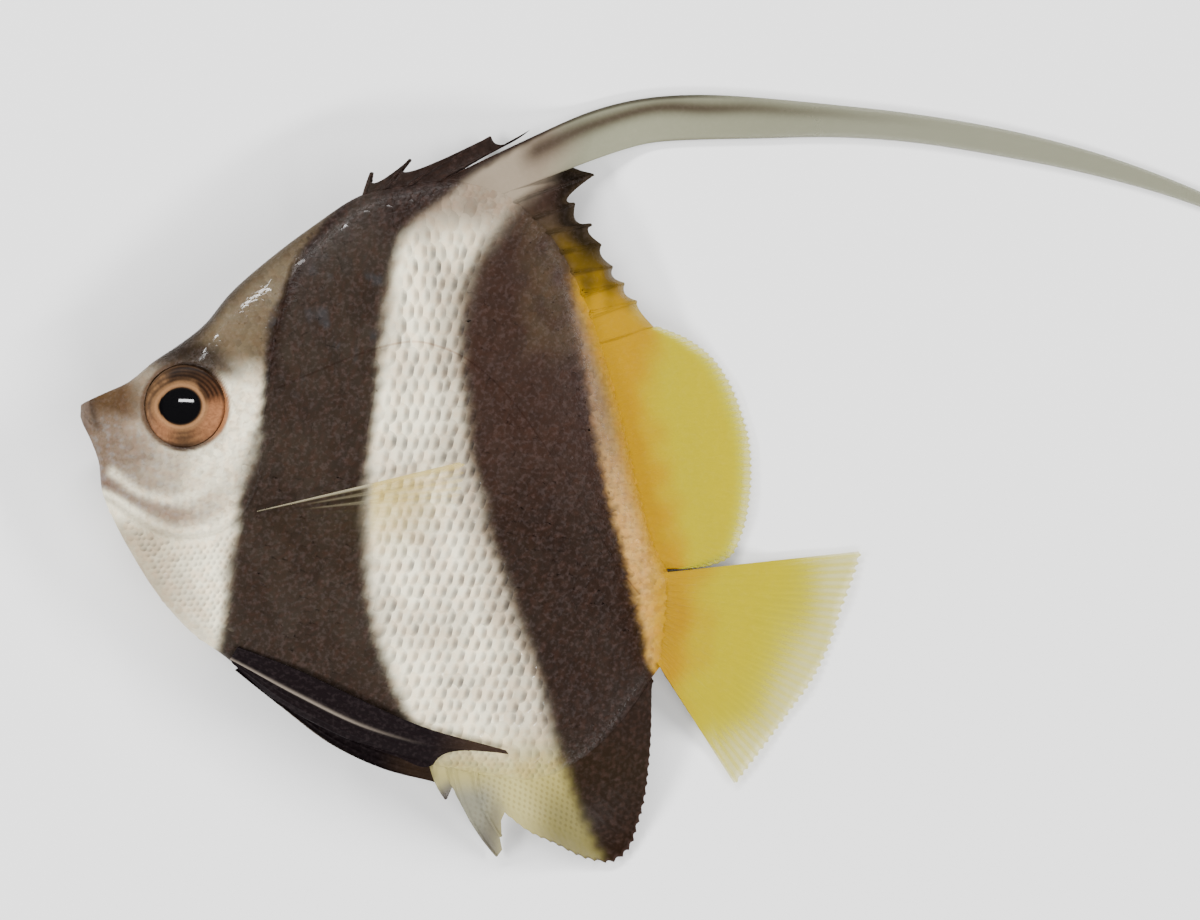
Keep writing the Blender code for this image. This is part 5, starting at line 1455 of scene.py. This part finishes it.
def iris(x, y):
    """Colours of the eye round its middle: pupil, bright ring, copper iris, dark upper arc and rim."""
    share = np.hypot(x, y) / EYE_RADIUS
    px, py = x - PUPIL_AT[0], y - PUPIL_AT[1]
    pointed = 1 + 0.12 * bell(np.arctan2(py, -px), 0.5)
    pupil = np.hypot(px / PUPIL_RADII[0], py / PUPIL_RADII[1]) / pointed
    colours = np.broadcast_to(light(IRIS), x.shape + (3,))
    rings = 0.5 + 0.5 * np.cos(pupil * 22.0)
    colours = blend(colours, IRIS_RING, 0.7 * rings * smooth((pupil - 1.15) / 0.2))
    blot = smooth(0.5 + waver(x, y, 1.3, 83)) * smooth((pupil - 1.2) / 0.3)
    colours = blend(colours, IRIS_BLOT, 0.5 * blot)
    around = np.arctan2(y, x)
    warm = np.maximum(smooth(1.2 - np.abs(around + 0.15) / 1.3), 0.75 * bell(around + 2.3, 0.5))
    colours = blend(colours, IRIS_WARM, 0.75 * warm * smooth((share - 0.5) / 0.2))
    colours = blend(colours, IRIS_BRIGHT, 0.7 * bell(pupil - 1.14, 0.07) * (0.6 + 0.4 * warm))
    streaks = 0.5 + 0.5 * np.sin(around * 41 + 3 * waver(x, y, 0.9, 85))
    colours = blend(colours, IRIS_STREAK, 0.3 * streaks * smooth((pupil - 1.2) / 0.3))
    arcs = 0.88 + 0.12 * np.cos(pupil * 30.0 + 1.0)
    upper = smooth((1.25 - np.abs(around - 1.15)) / 0.5)
    upper = upper * smooth((share - 0.46 - 0.12 * smooth((around - 0.7) / 0.5)) / 0.12) * arcs
    colours = blend(colours, IRIS_UPPER, 0.97 * upper)
    low = smooth(1.1 - np.abs(around + 1.57) / 0.5) * smooth((share - 0.55) / 0.2)
    colours = blend(colours, IRIS_LOWER, 0.55 * low * arcs)
    outer = smooth((share - 0.9) / 0.07) * (1 - 0.8 * warm)
    colours = blend(colours, IRIS_OUTER, 0.7 * outer * (1 - smooth(1.3 - np.abs(around - 1.2) / 0.8)))
    colours = blend(colours, IRIS_FOOT, 0.8 * outer * smooth(1.1 - np.abs(around + 1.65) / 0.6))
    return blend(colours, PUPIL, smooth((1.03 - pupil) / 0.05))


def floor_piece():
    """A wide pale sheet under the fish."""
    half = 0.8
    corners = np.array([(-half, -half, 0), (half, -half, 0), (half, half, 0), (-half, half, 0)])
    mesh = bpy.data.meshes.new("floor")
    mesh.from_pydata((corners - (0, 0, 0.0001)).tolist(), [], [(0, 1, 2, 3)])
    finish = Finish("pale_floor", Roughness=0.6)
    finish.set(Base_Color=finish.mix(grey(0.84), grey(0.8), finish.noise(60.0)))
    mesh.materials.append(finish.material)
    placed("floor", mesh)


def lamp(name, place, target, size, power, turn=0.0):
    """A rectangular soft light at a place, facing a target and turned about its own axis."""
    data = bpy.data.lights.new(name, "AREA")
    data.shape = "RECTANGLE"
    data.size, data.size_y = size
    data.energy = power
    obj = placed(name, data)
    obj.location = place
    obj.rotation_euler = (Vector(target) - Vector(place)).to_track_quat("-Z", "Y").to_euler()
    obj.rotation_euler.rotate_axis("Z", turn)


def camera():
    """Looks straight down through a long lens on the part of the table that the photograph shows."""
    across, down = (size * PHOTO_SCALE for size in PHOTO_SIZE)
    x = across / 2 - PHOTO_SNOUT[0] * PHOTO_SCALE
    y = PHOTO_SNOUT[1] * PHOTO_SCALE - down / 2
    data = bpy.data.cameras.new("camera")
    data.sensor_width = 36.0
    data.lens = data.sensor_width * CAMERA_HEIGHT / (across * MM)
    data.clip_start, data.clip_end = 0.05, 10.0
    obj = placed("camera", data)
    obj.location = world(np.float64(x), np.float64(y), 0.0) + (0, 0, CAMERA_HEIGHT)
    bpy.context.scene.camera = obj


def studio():
    """Pale surroundings and soft lights from above, with two slim ones for the glints on wet skin."""
    sky = bpy.data.worlds.new("studio")
    sky.use_nodes = True
    sky.node_tree.nodes["Background"].inputs["Color"].default_value = (0.95, 0.97, 1.0, 1.0)
    sky.node_tree.nodes["Background"].inputs["Strength"].default_value = 0.12
    bpy.context.scene.world = sky
    middle = (-0.01, 0.0, 0.0)
    lamp("key", (-0.25, 0.72, 0.5), middle, (0.9, 0.08), 15.0)
    lamp("fill", (0.3, -0.72, 0.5), middle, (0.9, 0.08), 14.0)
    lamp("left", (-0.76, -0.1, 0.48), middle, (0.7, 0.08), 10.0)
    lamp("right", (0.76, 0.1, 0.48), middle, (0.7, 0.08), 10.0)


def catch_light(axis):
    """A small lamp that the camera sees mirrored in the pupil: the view upward, turned about the axis."""
    eye_place = world(EYE_AT[0], EYE_AT[1], 9.5)
    mirrored = 2 * axis[2] * axis - (0, 0, 1)
    place = eye_place + 0.7 * mirrored + (0, 0.028, 0)
    lamp("catch_light", place, eye_place, (0.085, 0.014), 0.14, math.radians(-56))


camera()
studio()
floor_piece()
SKIN = skin_finish()
SCALES = scale_finish()
FINS = fin_finish("moist_fin")
skin(SKIN)
scales("trunk_scales_left", 1, SCALES, True)
scales("small_scales_left", 1, SCALES, False)
scales("trunk_scales_right", -1, SCALES, True)
scales("small_scales_right", -1, SCALES, False)
EYES = eye_finish()
catch_light(eye("eyeball_left", 1, EYES))
eye("eyeball_right", -1, EYES)
dorsal_front(FINS)
streamer(FINS)
dorsal_rear(FINS)
soft_dorsal(FINS)
caudal(FINS)
anal(FINS)
pectoral("breast_fin_left", FINS, True)
pectoral("breast_fin_right", FINS, False)
pelvic("belly_fin_left", (LEFT_PELVIC_UPPER, LEFT_PELVIC_SPINE, LEFT_PELVIC_LOWER), FINS, True)
pelvic("belly_fin_right", (RIGHT_PELVIC_OUTER, RIGHT_PELVIC_INNER), FINS, False)
